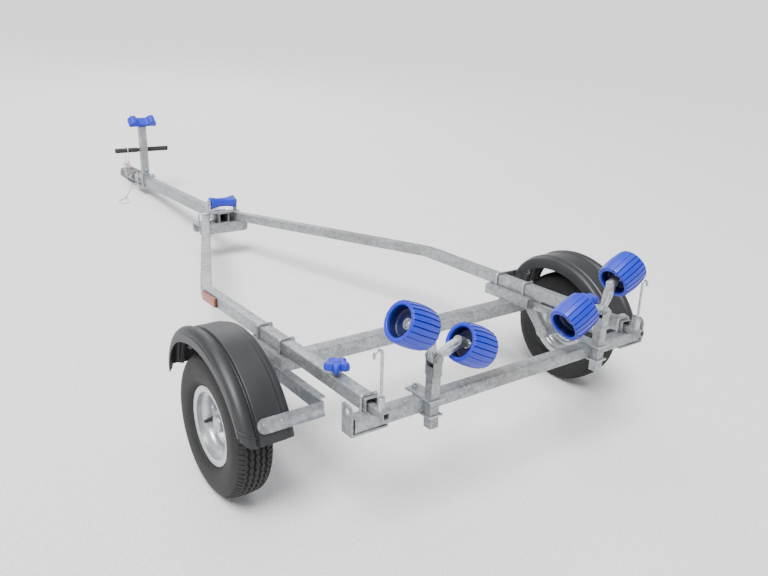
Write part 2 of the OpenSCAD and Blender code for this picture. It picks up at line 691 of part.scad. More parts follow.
// ---- rear crossmember and what it carries ----
clamp_rx = -cross_x + 8;
module rear_crossmember() {
    color(steel) parked() difference() {
        tube_y(cross_l, -cross_x, z_frame - cross_s, cross_s, tube_t);
        for (i = [-1, 1])
            translate([clamp_rx, i * rail_y, 0])
                clamp_holes(rail_s, z_frame - cross_s - 1, z_frame + 1);
    }
}
module rear_clamps() {
    color(bright) parked() for (i = [-1, 1])
        translate([clamp_rx, i * rail_y, z_rail])
            clamp_bolt(rail_s, rail_s + cross_s + plate_t);
}
lash_y = cross_l / 2 + 8;
module lashing_plate() {
    z0 = z_frame - cross_s - plate_t;
    x0 = -cross_x - lash_w / 2;
    y0 = rail_y - rail_s / 2 - clamp_d - 12;
    difference() {
        union() {
            translate([x0, y0, z0]) cube([lash_w, lash_y + plate_t - y0, plate_t]);
            translate([x0, lash_y + plate_t, z0]) rotate([90, 0, 0]) linear_extrude(plate_t)
                polygon([[0, 0], [lash_w, 0], [lash_w, lash_h - 6], [lash_w - 6, lash_h],
                    [14, lash_h], [4, lash_h - 8], [0, lash_h - 18]]);
        }
        translate([-cross_x, lash_y - 1, z0 + lash_h - lash_hole / 2 - 10])
            rotate([-90, 0, 0]) cylinder(d = lash_hole, h = plate_t + 2);
        translate([clamp_rx, rail_y, 0]) clamp_holes(rail_s, z0 - 1, z0 + plate_t + 1);
    }
}
module lashing_plate_left() { color(steel) parked() lashing_plate(); }
module lashing_plate_right() { color(steel) parked() mirror([0, 1, 0]) lashing_plate(); }

// ---- roller stems: a square tube behind the crossmember with a yoke on top ----
module roller_stem() {
    h = stem_s / 2;
    difference() {
        union() {
            tube_z(stem_x, stem_y, z_frame - stem_low, z_frame + stem_top, stem_s, tube_t);
            for (x = [stem_x - h - 4, stem_x + h]) {
                translate([x, stem_y - h, z_frame + stem_top - 26])
                    cube([4, stem_s, pivot_up - stem_top + 26]);
                translate([x, stem_y, pivot_z]) rotate([0, 90, 0]) cylinder(r = h, h = 4);
            }
            translate([stem_x - h - 12, stem_y, pivot_z]) rotate([0, 90, 0])
                cylinder(d = pivot_d, h = stem_s + 24);
            for (x = [stem_x - h - 12, stem_x + h + 4])
                translate([x, stem_y, pivot_z]) rotate([0, 90, 0])
                    cylinder(d = pivot_d + 9, h = 8, $fn = 6);
        }
    }
}
module roller_stem_left() { color(steel) parked() roller_stem(); }
module roller_stem_right() { color(steel) parked() mirror([0, 1, 0]) roller_stem(); }

module stem_clamp() {
    x0 = stem_x - stem_s / 2 - 6;
    x1 = -cross_x + cross_s / 2 + 34;
    difference() {
        for (z = [z_frame - cross_s - plate_t, z_frame])
            translate([x0, stem_y - 23, z]) cube([x1 - x0, 46, plate_t]);
        translate([stem_x - stem_s / 2, stem_y - stem_s / 2, z_frame - 90])
            cube([stem_s, stem_s, 180]);
    }
    translate([x1 - 14, stem_y, z_frame - cross_s - 16]) cylinder(d = 10, h = cross_s + 32);
    translate([x1 - 14, stem_y, z_frame - cross_s - plate_t - 8]) cylinder(d = 17, h = 8.5, $fn = 6);
    translate([x1 - 14, stem_y, z_frame + plate_t - 0.5]) cylinder(d = 17, h = 7, $fn = 6);
}
module stem_clamp_left() { color(steel) parked() stem_clamp(); }
module stem_clamp_right() { color(steel) parked() mirror([0, 1, 0]) stem_clamp(); }

// ---- swing arms and wobble rollers, in a frame tilted with the swing ----
recess = 34;
web_in = roller_in + recess;
web_out = roller_in + roller_l - recess;
limb = norm([roller_in, roller_up]);
module swung() {
    translate([stem_x, stem_y, pivot_z]) rotate([swing_tilt, 0, 0]) children();
}
module swing_arm() {
    swung() difference() {
        union() {
            translate([-11, 0, 0]) rotate([0, 90, 0]) cylinder(r = 16, h = 22);
            for (i = [-1, 1]) {
                rotate([i * atan2(roller_up, roller_in), 0, 0])
                    translate([-10, i > 0 ? 6 : 2 - limb, -12]) cube([20, limb - 8, 24]);
                translate([0, 0, roller_up]) rotate([-90 * i, 0, 0]) {
                    translate([0, 0, roller_in - 12]) cylinder(d = spindle_d + 12, h = 26);
                    translate([0, 0, roller_in])
                        cylinder(d = spindle_d, h = web_out - roller_in + 8);
                    translate([0, 0, web_in - 4]) cylinder(d = spindle_d + 8, h = 3);
                    translate([0, 0, web_out + 1]) cylinder(d = spindle_d + 12, h = 3);
                }
            }
        }
        translate([-12, 0, 0]) rotate([0, 90, 0]) cylinder(d = pivot_d + 2 * run_gap, h = 24);
    }
}
module swing_arm_left() { color(bright) parked() swing_arm(); }
module swing_arm_right() { color(bright) parked() mirror([0, 1, 0]) swing_arm(); }

// Barrel with a deep recess in each end; its axis runs along +Z from 0.
module wobble_roller() {
    b = spindle_d / 2 + run_gap;
    o = roller_end_d / 2;
    l = roller_l;
    color(blue) rotate_extrude($fn = 72) polygon([
        [b, recess], [o - 13, recess], [o - 13, 3], [o - 10, 0], [o - 4, 0], [o, 4],
        [o + (roller_d / 2 - o) * 0.75, l * 0.25], [roller_d / 2, l * 0.5],
        [o + (roller_d / 2 - o) * 0.75, l * 0.75], [o, l - 4], [o - 4, l], [o - 10, l],
        [o - 13, l - 3], [o - 13, l - recess], [b, l - recess]]);
}
module placed_roller(i) {
    swung() translate([0, i * roller_in, roller_up]) rotate([-90 * i, 0, 0]) wobble_roller();
}
module roller_outer_left() { parked() placed_roller(1); }
module roller_inner_left() { parked() placed_roller(-1); }
module roller_outer_right() { parked() mirror([0, 1, 0]) placed_roller(1); }
module roller_inner_right() { parked() mirror([0, 1, 0]) placed_roller(-1); }

// ---- lighting board fittings ----
carrier_z = z_frame + tube_t + 0.5;
rod_x = -rail_rear - carrier_out + 24;
module light_carrier() {
    tube_x(-rail_rear - carrier_out, carrier_in - rail_rear, rail_y, carrier_z, carrier_s, 2);
}
module light_carrier_left() { color(steel) parked() light_carrier(); }
module light_carrier_right() { color(steel) parked() mirror([0, 1, 0]) light_carrier(); }
module light_rod() {
    z = carrier_z + carrier_s;
    translate([rod_x, rail_y, z]) {
        cylinder(d = rod_d + 12, h = 34);
        cylinder(d = rod_d, h = rod_h - 12);
        translate([0, 12, rod_h - 12]) rotate([90, 0, -90])
            rotate_extrude(angle = 180) translate([12, 0]) circle(d = rod_d);
        translate([0, 24, rod_h - 20]) cylinder(d = rod_d, h = 8);
    }
}
module light_rod_left() { color(bright) parked() light_rod(); }
module light_rod_right() { color(bright) parked() mirror([0, 1, 0]) light_rod(); }
module star_knob() {
    z0 = carrier_z + carrier_s + 0.5;
    translate([knob_x - rail_rear, rail_y, 0]) {
        translate([0, 0, z0]) cylinder(d = screw_d, h = z_rail + 20 - z0);
        translate([0, 0, z_rail]) cylinder(d = screw_d + 8, h = 8, $fn = 6);
        translate([0, 0, z_rail + 12]) {
            cylinder(d = knob_d * 0.62, h = 27);
            for (i = [0:4]) rotate([0, 0, i * 72])
                translate([knob_d / 2 - 12, 0, 2]) cylinder(d = 24, h = 22);
        }
    }
}
module star_knob_left() { color(blue) parked() star_knob(); }
module star_knob_right() { color(blue) parked() mirror([0, 1, 0]) star_knob(); }

// ---- safety cable, where it lies as the trailer stands: one end on the ground, the other
// over the handle ----
lower_route = [[1466, 14, 28.6], [1466, 24, 28], [1464, 35, 26], [1459, 46, 22], [1452, 56, 16.5],
    [1443, 65, 11], [1432, 73, 7], [1420, 80, 4.5], [1406, 88, 3.5], [1390, 97, 3], [1373, 106, 3],
    [1356, 115, 3], [1339, 124, 3.2], [1322, 132, 3.6], [1314, 135.7, 4], [1306, 139.4, 4]];
upper_route = [[1530, 30.5, 52], [1530, 41, 51], [1527, 52, 52], [1521, 62, 57], [1512, 71, 67],
    [1501, 78, 82], [1489, 82, 101], [1477, 85, 123], [1466, 87, 148], [1456, 88, 175],
    [1447, 88, 202], [1440, 88, 228], [1436.7, 88, 247], [1434.6, 88, 255.2], [1428.5, 88, 261.3],
    [1420, 88, 263.7], [1411.3, 88, 261.3], [1405.2, 88, 255.2], [1402.9, 88, 247],
    [1402, 88, 228], [1401, 88, 208], [1401, 88, 190]];
function unit(v) = v / norm(v);
function tangent(p, i) = unit(p[min(i + 1, len(p) - 1)] - p[max(i - 1, 0)]);
// A vector across the route at each point, carried along from n so that the tube never twists.
function across(p, n, i = 0) = i == len(p) ? [] : let (
    t = tangent(p, i),
    m = unit(n - (n * t) * t))
    concat([m], across(p, m, i + 1));
module tube(p, d) {
    sides = 8;
    m = across(p, [0, 0, 1]);
    last = len(p) - 1;
    points = [for (i = [0:last], k = [0:sides - 1]) p[i]
        + d / 2 * (cos(k * 360 / sides) * m[i] + sin(k * 360 / sides) * cross(tangent(p, i), m[i]))];
    polyhedron(points, concat(
        [[for (k = [0:sides - 1]) k]],
        [for (i = [0:last - 1], k = [0:sides - 1]) let (j = (k + 1) % sides)
            [i * sides + j, i * sides + k, (i + 1) * sides + k, (i + 1) * sides + j]],
        [[for (k = [sides - 1:-1:0]) last * sides + k]]));
}
module lower_cable() { color([0.85, 0.86, 0.85]) tube(lower_route, cable_d); }
module upper_cable() { color([0.85, 0.86, 0.85]) tube(upper_route, cable_d); }
// Block under the drawbar that the lower end is clamped in.
anchor_x = 2775;
module cable_anchor() {
    color(bright) parked() translate([anchor_x - 10, -14, z_frame - 14]) cube([20, 28, 14]);
}
// Pressed ferrule and teardrop eye, flat on the ground.
eye_l = 92;
eye_w = 56;
eye_turn = 155;
module cable_eye() {
    color([0.85, 0.86, 0.85]) translate(lower_route[len(lower_route) - 1])
        rotate([0, 0, eye_turn]) {
            translate([0, -6, -3.6]) cube([26, 12, 7]);
            tube([for (a = [24:12:336]) [22 + eye_l / 2 * (1 - cos(a)),
                0.65 * eye_w * sin(a) * sin(a / 2), -1.4]], cable_d);
        }
}
// Collar and snap link on the cable's other end.
module cable_clip() {
    function stadium(w, l) = concat([for (a = [0:20:180]) [w * cos(a), l + w * sin(a)]],
        [for (a = [180:20:360]) [w * cos(a), -l + w * sin(a)]]);
    color(bright) translate(upper_route[len(upper_route) - 1]) {
        translate([0, 0, -12]) cylinder(d = 8, h = 12);
        translate([-2, 0, -29]) rotate([90, 0, 90]) linear_extrude(4) difference() {
            polygon(stadium(8, 11));
            polygon(stadium(4.5, 11));
        }
    }
}

// ---- side reflectors ----
module side_reflector() {
    translate([bend_x - 99 - refl_l / 2, rail_y + rail_s / 2, z_frame + (rail_s - refl_h) / 2])
        cube([refl_l, 10, refl_h]);
}
module side_reflector_left() { color([0.95, 0.5, 0.1]) parked() side_reflector(); }
module side_reflector_right() {
    color([0.95, 0.5, 0.1]) parked() mirror([0, 1, 0]) side_reflector();
}
drawbar();
side_rail_left();
side_rail_right();
front_channel();
front_clamps();
axle_beam();
axle_saddle_left();
axle_saddle_right();
axle_clamps_left();
axle_clamps_right();
suspension_arm_left();
suspension_arm_right();
rear_crossmember();
rear_clamps();
lashing_plate_left();
lashing_plate_right();
mudguard_left();
mudguard_right();
guard_stays_left();
guard_stays_right();
tyre_left();
tyre_right();
rim_left();
rim_right();
hub_left();
hub_right();
keel_bracket();
keel_pin();
keel_roller();
winch_post();
post_clamp();
bow_snubber();
pull_handle();
handle_grips();
coupling_body();
coupling_lever();
cable_anchor();
lower_cable();
cable_eye();
upper_cable();
cable_clip();
roller_stem_left();
roller_stem_right();
stem_clamp_left();
stem_clamp_right();
swing_arm_left();
swing_arm_right();
roller_outer_left();
roller_inner_left();
roller_outer_right();
roller_inner_right();
light_carrier_left();
light_carrier_right();
light_rod_left();
light_rod_right();
star_knob_left();
star_knob_right();
side_reflector_left();
side_reflector_right();
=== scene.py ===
"""A light galvanised boat trailer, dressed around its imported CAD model.

Shapes are worked out in millimetres with the trailer level: X forward, Y to its left and Z up, from the
middle of the wheel axis. Stance turns them nose down onto the ground, where the trailer parks.
"""

import json
import logging
import math
from contextlib import contextmanager
from dataclasses import dataclass, field
from enum import Enum
from typing import Any, Iterable, Iterator, Sequence

import bmesh
import bpy
import numpy as np
from mathutils import Matrix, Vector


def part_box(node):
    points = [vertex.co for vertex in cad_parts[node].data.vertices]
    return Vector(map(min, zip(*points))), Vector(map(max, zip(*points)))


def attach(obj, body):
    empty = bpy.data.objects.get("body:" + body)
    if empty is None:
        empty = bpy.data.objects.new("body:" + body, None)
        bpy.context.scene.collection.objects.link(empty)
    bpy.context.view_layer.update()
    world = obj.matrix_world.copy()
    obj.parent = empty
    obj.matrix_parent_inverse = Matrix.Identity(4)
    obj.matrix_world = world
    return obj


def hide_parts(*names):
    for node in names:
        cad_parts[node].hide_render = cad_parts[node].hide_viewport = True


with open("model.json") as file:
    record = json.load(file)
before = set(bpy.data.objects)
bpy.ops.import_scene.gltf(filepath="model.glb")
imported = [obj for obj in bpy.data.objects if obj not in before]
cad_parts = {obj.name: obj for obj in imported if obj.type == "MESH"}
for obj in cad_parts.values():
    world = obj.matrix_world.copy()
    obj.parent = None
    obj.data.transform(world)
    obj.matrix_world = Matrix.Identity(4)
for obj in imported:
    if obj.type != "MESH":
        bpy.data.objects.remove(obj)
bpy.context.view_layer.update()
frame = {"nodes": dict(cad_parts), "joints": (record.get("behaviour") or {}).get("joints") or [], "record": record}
LOG = logging.getLogger("boat_trailer")
TAU = 2 * math.pi
MM = 0.001
SAWN_EDGE = 0.5  # the chamfer on a tube's cut end, in millimetres
DOME = 0.18  # how far in from its end a rod's dome begins, in diameters
DOME_FACE = 0.62  # the width of a dome's flat face, in diameters
BEAD_STEP, BEAD_WAVE = 0.22, 0.62  # a weld bead's point spacing and ripple length, in bead widths
BEAD_RIPPLE, BEAD_END = 0.13, 0.4  # how far its radius ripples, and its radius at both ends, as shares
MERGE = 1e-6  # points of a made shape nearer than this many metres are one
MIX_SHARE, MIX_FIRST, MIX_SECOND, MIX_COLOUR = 0, 6, 7, 2  # a colour Mix node's sockets


class Side(Enum):
    """The trailer's two sides, with the sign of Y on each."""

    LEFT = 1
    RIGHT = -1

    @property
    def word(self) -> str:
        """The side as it stands in node names."""
        return self.name.lower()


class Slot(Enum):
    """The record's material slots."""

    GALVANISED = "galvanised"
    ZINC = "bright_zinc"
    RIM = "rim_silver"
    TYRE = "tyre_rubber"
    ROLLER = "roller_blue"
    MOULDED = "moulded_blue"
    GUARD = "guard_black"
    GRIP = "grip_black"
    COUPLING = "coupling_grey"
    REFLECTOR = "reflector_amber"
    CABLE = "cable_cover"


# ---- where things are ----


@dataclass(frozen=True)
class Stance:
    """How the level trailer stands on the ground.

    Attributes:
        axle: The middle of the wheel axis, in metres.
        ahead: The level trailer's X axis as it stands.
        up: The level trailer's Z axis as it stands.
    """

    axle: np.ndarray
    ahead: np.ndarray
    up: np.ndarray

    @classmethod
    def read(cls) -> "Stance":
        """Reads the stance from the wheels' box and from the direction that the light bars slide in.

        Returns:
            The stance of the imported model.
        """
        slide = next(j for j in frame["joints"] if j["name"] == "light_bar_left_slide")
        ahead = -np.array(slide["axis"], float)
        ahead /= np.linalg.norm(ahead)
        low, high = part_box("tyre_left")
        middle = (np.array(low) + np.array(high)) / 2
        return cls(np.array([middle[0], 0, middle[2]]), ahead, np.cross(ahead, [0, 1, 0]))

    @property
    def axes(self) -> np.ndarray:
        """The level axes as rows."""
        return np.array([self.ahead, [0, 1, 0], self.up])

    def world(self, points: np.ndarray) -> np.ndarray:
        """Level millimetres to metres as the trailer stands."""
        return self.axle + MM * np.asarray(points, float) @ self.axes

    def level(self, points: np.ndarray) -> np.ndarray:
        """Metres as the trailer stands to level millimetres."""
        return (np.asarray(points, float) - self.axle) @ self.axes.T / MM

    def vertices(self, node: str) -> np.ndarray:
        """A CAD node's vertices in level millimetres."""
        data = frame["nodes"][node].data
        flat = np.empty(len(data.vertices) * 3, np.float32)
        data.vertices.foreach_get("co", flat)
        return self.level(flat.reshape(-1, 3))

    def box(self, node: str) -> tuple[np.ndarray, np.ndarray]:
        """A CAD node's lowest and highest corners in level millimetres."""
        points = self.vertices(node)
        return points.min(0), points.max(0)


STANCE = Stance.read()
BODY_OF = {n: body for body, names in frame["record"]["behaviour"]["bodies"].items() for n in names}


def joint_axis(name: str) -> np.ndarray:
    """A joint's axis as a level unit vector.

    Args:
        name: The joint's name.

    Returns:
        The unit vector in level axes.
    """
    axis = np.array(next(j for j in frame["joints"] if j["name"] == name)["axis"], float)
    return STANCE.axes @ (axis / np.linalg.norm(axis))


# ---- shader graphs ----


class Value:
    """A shader socket on which Python's operators add Math nodes."""

    def __init__(self, graph: "Graph", socket: bpy.types.NodeSocket) -> None:
        """Keeps the graph that new nodes join and the socket that this value comes from."""
        self.graph = graph
        self.socket = socket

    def __add__(self, other: "Value | float") -> "Value":
        """The sum."""
        return self.graph.math("ADD", self, other)

    __radd__ = __add__

    def __mul__(self, other: "Value | float") -> "Value":
        """The product."""
        return self.graph.math("MULTIPLY", self, other)

    def __sub__(self, other: "Value | float") -> "Value":
        """The difference."""
        return self.graph.math("SUBTRACT", self, other)

    def __rsub__(self, other: float) -> "Value":
        """The reflected difference, as in 1 - mask."""
        return self.graph.math("SUBTRACT", other, self)

    def clipped(self) -> "Value":
        """The value held between 0 and 1."""
        return Value(self.graph, self.graph.node("ShaderNodeClamp", {}, {"Value": self}).outputs[0])


class Graph:
    """One material's node tree, with a Principled shader at its end."""

    def __init__(self, name: str) -> None:
        """Makes a material of that name and finds its shader."""
        self.material = bpy.data.materials.new(name)
        self.material.use_nodes = True
        self.tree = self.material.node_tree
        self.shader = self.tree.nodes["Principled BSDF"]
        self.place = self.node("ShaderNodeTexCoord", {}, {}).outputs["Object"]

    def node(self, kind: str, settings: dict[str, Any], inputs: dict[Any, Any]) -> bpy.types.Node:
        """Adds a node.

        Args:
            kind: The node's type.
            settings: Its own properties, set first.
            inputs: The values or links of its sockets, by name or index.

        Returns:
            The node.
        """
        made = self.tree.nodes.new(kind)
        for key, value in settings.items():
            setattr(made, key, value)
        for key, value in inputs.items():
            self.feed(made.inputs[key], value)
        return made

    def feed(self, socket: bpy.types.NodeSocket, value: Any) -> None:
        """Links a value or socket into a socket, or sets its number or colour."""
        if isinstance(value, Value):
            value = value.socket
        if isinstance(value, bpy.types.NodeSocket):
            self.tree.links.new(value, socket)
        elif isinstance(value, tuple) and len(value) == 3 and socket.type == "RGBA":
            socket.default_value = (*value, 1)
        else:
            socket.default_value = value

    def math(self, operation: str, *values: Any) -> Value:
        """A Math node on one to three values."""
        made = self.node("ShaderNodeMath", {"operation": operation}, dict(enumerate(values)))
        return Value(self, made.outputs[0])

    def stretched(self, scale: tuple[float, float, float]) -> bpy.types.NodeSocket:
        """Object coordinates scaled along each axis."""
        return self.node("ShaderNodeMapping", {}, {"Vector": self.place, "Scale": scale}).outputs[0]

    def noise(self, scale: float, detail: float = 3, where: Any = None) -> Value:
        """Noise of that many waves a metre."""
        made = self.node("ShaderNodeTexNoise", {}, {
            "Vector": where or self.place, "Scale": scale, "Detail": detail})
        return Value(self, made.outputs["Fac"])

    def cells(self, scale: float) -> Value:
        """One random value for each crystal of a metal's spangle, that many cells a metre."""
        made = self.node("ShaderNodeTexVoronoi", {}, {"Vector": self.place, "Scale": scale})
        split = self.node("ShaderNodeSeparateColor", {}, {0: made.outputs["Color"]})
        return Value(self, split.outputs[0])

    def own(self, name: str) -> Value:
        """Reads a piece's own point attribute, which is 0 on a piece that has none."""
        return Value(self, self.node("ShaderNodeAttribute", {"attribute_name": name}, {}).outputs["Fac"])

    def between(self, share: Any, first: Any, second: Any) -> bpy.types.NodeSocket:
        """A colour mixed from two by a share."""
        made = self.node("ShaderNodeMix", {"data_type": "RGBA"},
                         {MIX_SHARE: share, MIX_FIRST: first, MIX_SECOND: second})
        return made.outputs[MIX_COLOUR]

    def relief(self, height: Value, distance: float, strength: float = 1.0) -> None:
        """Feeds a height through a Bump node to Normal, distance in metres."""
        made = self.node("ShaderNodeBump", {}, {
            "Height": height, "Distance": distance, "Strength": strength})
        self.feed(self.shader.inputs["Normal"], made.outputs[0])

    def finish(self, **sockets: Any) -> bpy.types.Material:
        """Sets the shader's sockets, with _ for a space in a name, and returns the material."""
        for name, value in sockets.items():
            self.feed(self.shader.inputs[name.replace("_", " ")], value)
        return self.material


# ---- finishes ----


@dataclass(frozen=True)
class HotDipZinc:
    """Hot-dip galvanising: dull zinc with a crystal spangle, cloudy patches and drawn streaks."""

    pale: tuple[float, float, float] = (0.50, 0.53, 0.55)
    dull: tuple[float, float, float] = (0.12, 0.125, 0.13)
    warm: tuple[float, float, float] = (0.28, 0.255, 0.22)
    spangle_scale: float = 110
    metallic: float = 0.6

    def make(self) -> bpy.types.Material:
        """Builds the material."""
        g = Graph("galvanised")
        spangle = g.cells(self.spangle_scale)
        fine = g.noise(420, 4)
        cloud = g.noise(16, 4)
        streak = g.noise(30, 3, g.stretched((0.25, 1, 3)))
        tone = (spangle * 0.34 + fine * 0.36 + cloud * 0.42 + streak * 0.3 - 0.21).clipped()
        warmth = ((g.noise(5, 2) - 0.5) * 3).clipped()
        base = g.between(tone, self.dull, g.between(warmth, self.pale, self.warm))
        g.relief(fine * 0.5 + spangle * 0.3 + cloud, 0.0005, 0.6)
        return g.finish(Base_Color=base, Metallic=self.metallic,
                        Roughness=(0.50 - tone * 0.22 + fine * 0.06), Specular_IOR_Level=0.5)


@dataclass(frozen=True)
class BrightZinc:
    """Electroplated zinc on bolts and light fittings: smooth and bright, with faint blue."""

    pale: tuple[float, float, float] = (0.62, 0.645, 0.67)
    dull: tuple[float, float, float] = (0.26, 0.275, 0.30)

    def make(self) -> bpy.types.Material:
        """Builds the material."""
        g = Graph("bright_zinc")
        haze = g.noise(60, 4)
        grain = g.noise(700, 2)
        base = g.between((haze * 1.6 - 0.3).clipped(), self.dull, self.pale)
        g.relief(grain + haze * 0.5, 0.0002, 0.5)
        return g.finish(Base_Color=base, Metallic=0.85, Roughness=(0.24 + haze * 0.2))


@dataclass(frozen=True)
class RimPaint:
    """Silver wheel paint with fine flake and a thin uneven film of dust."""

    silver: tuple[float, float, float] = (0.62, 0.63, 0.65)
    shade: tuple[float, float, float] = (0.36, 0.37, 0.385)

    def make(self) -> bpy.types.Material:
        """Builds the material."""
        g = Graph("rim_silver")
        flake = g.cells(1500)
        dust = g.noise(22, 3)
        base = g.between((flake * 0.5 + dust * 0.7 - 0.15).clipped(), self.shade, self.silver)
        g.relief(g.noise(260, 2), 0.0002, 0.4)
        return g.finish(Base_Color=base, Metallic=0.75, Roughness=(0.26 + dust * 0.16),
                        Coat_Weight=0.35, Coat_Roughness=0.12)


@dataclass(frozen=True)
class TyreRubber:
    """Black tyre rubber, greyer where dust sits."""

    black: tuple[float, float, float] = (0.006, 0.006, 0.0065)
    dusty: tuple[float, float, float] = (0.020, 0.0195, 0.019)

    def make(self) -> bpy.types.Material:
        """Builds the material."""
        g = Graph("tyre_rubber")
        dust = g.noise(35, 5)
        pores = g.noise(900, 2)
        base = g.between((dust * 2 - 0.75).clipped(), self.black, self.dusty)
        g.relief(pores + dust, 0.0003, 0.5)
        return g.finish(Base_Color=base, Roughness=(0.55 + dust * 0.25), Specular_IOR_Level=0.4)


@dataclass(frozen=True)
class BluePlastic:
    """Moulded blue plastic with a fine grain, paler scuffs and slightly uneven gloss, and painted shade where a
    piece's shade attribute is set.
    """

    name: str
    blue: tuple[float, float, float] = (0.003, 0.014, 0.40)
    scuffed: tuple[float, float, float] = (0.008, 0.034, 0.60)
    shadow: tuple[float, float, float] = (0.001, 0.003, 0.035)
    roughness: float = 0.36

    def make(self) -> bpy.types.Material:
        """Builds the material."""
        g = Graph(self.name)
        patch = g.noise(28, 4)
        scuff = (g.noise(90, 5, g.stretched((1, 4, 1))) * 3.2 - 1.75).clipped()
        grain = g.noise(1100, 2)
        base = g.between((patch * 0.5 + scuff * 0.6).clipped(), self.blue, self.scuffed)
        # Painted shade: the piece's shade attribute mixes in the shadow colour, in the rollers' mouths and the
        # grooves between ribs.
        base = g.between(g.own("shade"), base, self.shadow)
        g.relief(grain + scuff * 0.4, 0.00025, 0.5)
        return g.finish(Base_Color=base, Roughness=(self.roughness + patch * 0.12 + scuff * 0.15),
                        Coat_Weight=0.08)


@dataclass(frozen=True)
class BlackPlastic:
    """Moulded black plastic with a soft sheen, a leather-fine grain and light handling marks."""

    name: str
    black: tuple[float, float, float] = (0.010, 0.0105, 0.012)
    rubbed: tuple[float, float, float] = (0.030, 0.031, 0.035)
    roughness: float = 0.38

    def make(self) -> bpy.types.Material:
        """Builds the material."""
        g = Graph(self.name)
        patch = g.noise(12, 5)
        marks = (g.noise(140, 6, g.stretched((3, 1, 1))) * 3 - 1.7).clipped()
        grain = g.noise(1300, 3)
        base = g.between((patch * 0.9 - 0.15 + marks * 0.4).clipped(), self.black, self.rubbed)
        g.relief(grain, 0.00025, 0.55)
        return g.finish(Base_Color=base, Roughness=(self.roughness + patch * 0.14 + marks * 0.1))


@dataclass(frozen=True)
class PressedSteel:
    """The coupling's dark passivated steel, rubbed bright in patches."""

    dark: tuple[float, float, float] = (0.085, 0.080, 0.076)
    rubbed: tuple[float, float, float] = (0.33, 0.32, 0.315)

    def make(self) -> bpy.types.Material:
        """Builds the material."""
        g = Graph("coupling_grey")
        wear = (g.noise(40, 6) * 2.4 - 0.8).clipped()
        grain = g.noise(600, 3)
        base = g.between((wear * 0.8 + grain * 0.15).clipped(), self.dark, self.rubbed)
        g.relief(grain + wear * 0.5, 0.0004, 0.5)
        return g.finish(Base_Color=base, Metallic=0.7, Roughness=(0.5 - wear * 0.12))


@dataclass(frozen=True)
class AmberLens:
    """Amber reflector lens: a grid of small prisms under a clear glossy face."""

    amber: tuple[float, float, float] = (0.50, 0.10, 0.001)
    deep: tuple[float, float, float] = (0.16, 0.020, 0.0005)
    pitch: float = 250

    def make(self) -> bpy.types.Material:
        """Builds the material."""
        g = Graph("reflector_amber")
        prisms = Value(g, g.node("ShaderNodeTexVoronoi", {}, {
            "Vector": g.place, "Scale": self.pitch, "Randomness": 0.0}).outputs["Distance"])
        base = g.between((prisms * 1.7).clipped(), self.amber, self.deep)
        g.relief(prisms, 0.0008, 0.5)
        return g.finish(Base_Color=base, Roughness=(0.18 + prisms * 0.1), Coat_Weight=0.3,
                        Coat_Roughness=0.08)


@dataclass(frozen=True)
class SleevedRope:
    """Thin steel rope seen through a clear sleeve that has gone a little milky."""

    pale: tuple[float, float, float] = (0.80, 0.81, 0.80)
    strand: tuple[float, float, float] = (0.40, 0.41, 0.42)

    def make(self) -> bpy.types.Material:
        """Builds the material."""
        g = Graph("cable_cover")
        strands = g.noise(700, 3)
        base = g.between((strands * 1.8 - 0.4).clipped(), self.strand, self.pale)
        g.relief(strands, 0.0003, 0.5)
        return g.finish(Base_Color=base, Metallic=0.25, Roughness=(0.26 + strands * 0.1),
                        Coat_Weight=0.7, Coat_Roughness=0.08)


@dataclass(frozen=True)
class Paint:
    """A plain glossy colour, a touch uneven, for small trim such as the coupling's button."""

    name: str
    colour: tuple[float, float, float]
    roughness: float

    def make(self) -> bpy.types.Material:
        """Builds the material."""
        g = Graph(self.name)
        patch = g.noise(180, 4)
        darker = tuple(0.6 * c for c in self.colour)
        base = g.between((patch * 1.6 - 0.3).clipped(), darker, self.colour)
        g.relief(patch, 0.0002, 0.4)
        return g.finish(Base_Color=base, Roughness=(self.roughness + patch * 0.1))


# ---- surfaces ----


@contextmanager
def mended(mesh: bpy.types.Mesh) -> Iterator[bmesh.types.BMesh]:
    """Opens a mesh for bmesh operators, then writes it back.

    Args:
        mesh: The mesh.

    Yields:
        The open mesh.
    """
    made = bmesh.new()
    made.from_mesh(mesh)
    yield made
    made.to_mesh(mesh)
    made.free()


def unit(vectors: np.ndarray) -> np.ndarray:
    """Each vector divided by its length."""
    vectors = np.asarray(vectors, float)
    return vectors / np.linalg.norm(vectors, axis=-1, keepdims=True)


def turned(points: np.ndarray, axis: int, degrees: float) -> np.ndarray:
    """Points turned about one of the level axes, right-handed.

    Args:
        points: Any array of points.
        axis: 0, 1 or 2.
        degrees: The angle.

    Returns:
        The turned points: the two other coordinates mix by the angle's cosine and sine.
    """
    a, b = (axis + 1) % 3, (axis + 2) % 3
    c, s = math.cos(math.radians(degrees)), math.sin(math.radians(degrees))
    out = np.array(points, float)
    out[..., a] = c * points[..., a] - s * points[..., b]
    out[..., b] = s * points[..., a] + c * points[..., b]
    return out


def smooth_line(points: Sequence[Sequence[float]], steps: int) -> np.ndarray:
    """A smooth line: cubic pieces through the points, each sloped by half the chord of its neighbours.

    Args:
        points: The points, in any number of dimensions.
        steps: The samples on each piece.

    Returns:
        The samples, with the last point.
    """
    p = np.asarray(points, float)
    q = np.vstack([2 * p[0] - p[1], p, 2 * p[-1] - p[-2]])
    t = np.linspace(0, 1, steps, endpoint=False)[None, :, None]
    a, b, c, d = (q[i:len(q) - 3 + i, None, :] for i in range(4))
    line = 0.5 * (2 * b + (c - a) * t + (2 * a - 5 * b + 4 * c - d) * t**2 + (3 * b - a - 3 * c + d) * t**3)
    return np.vstack([line.reshape(-1, p.shape[1]), p[-1]])


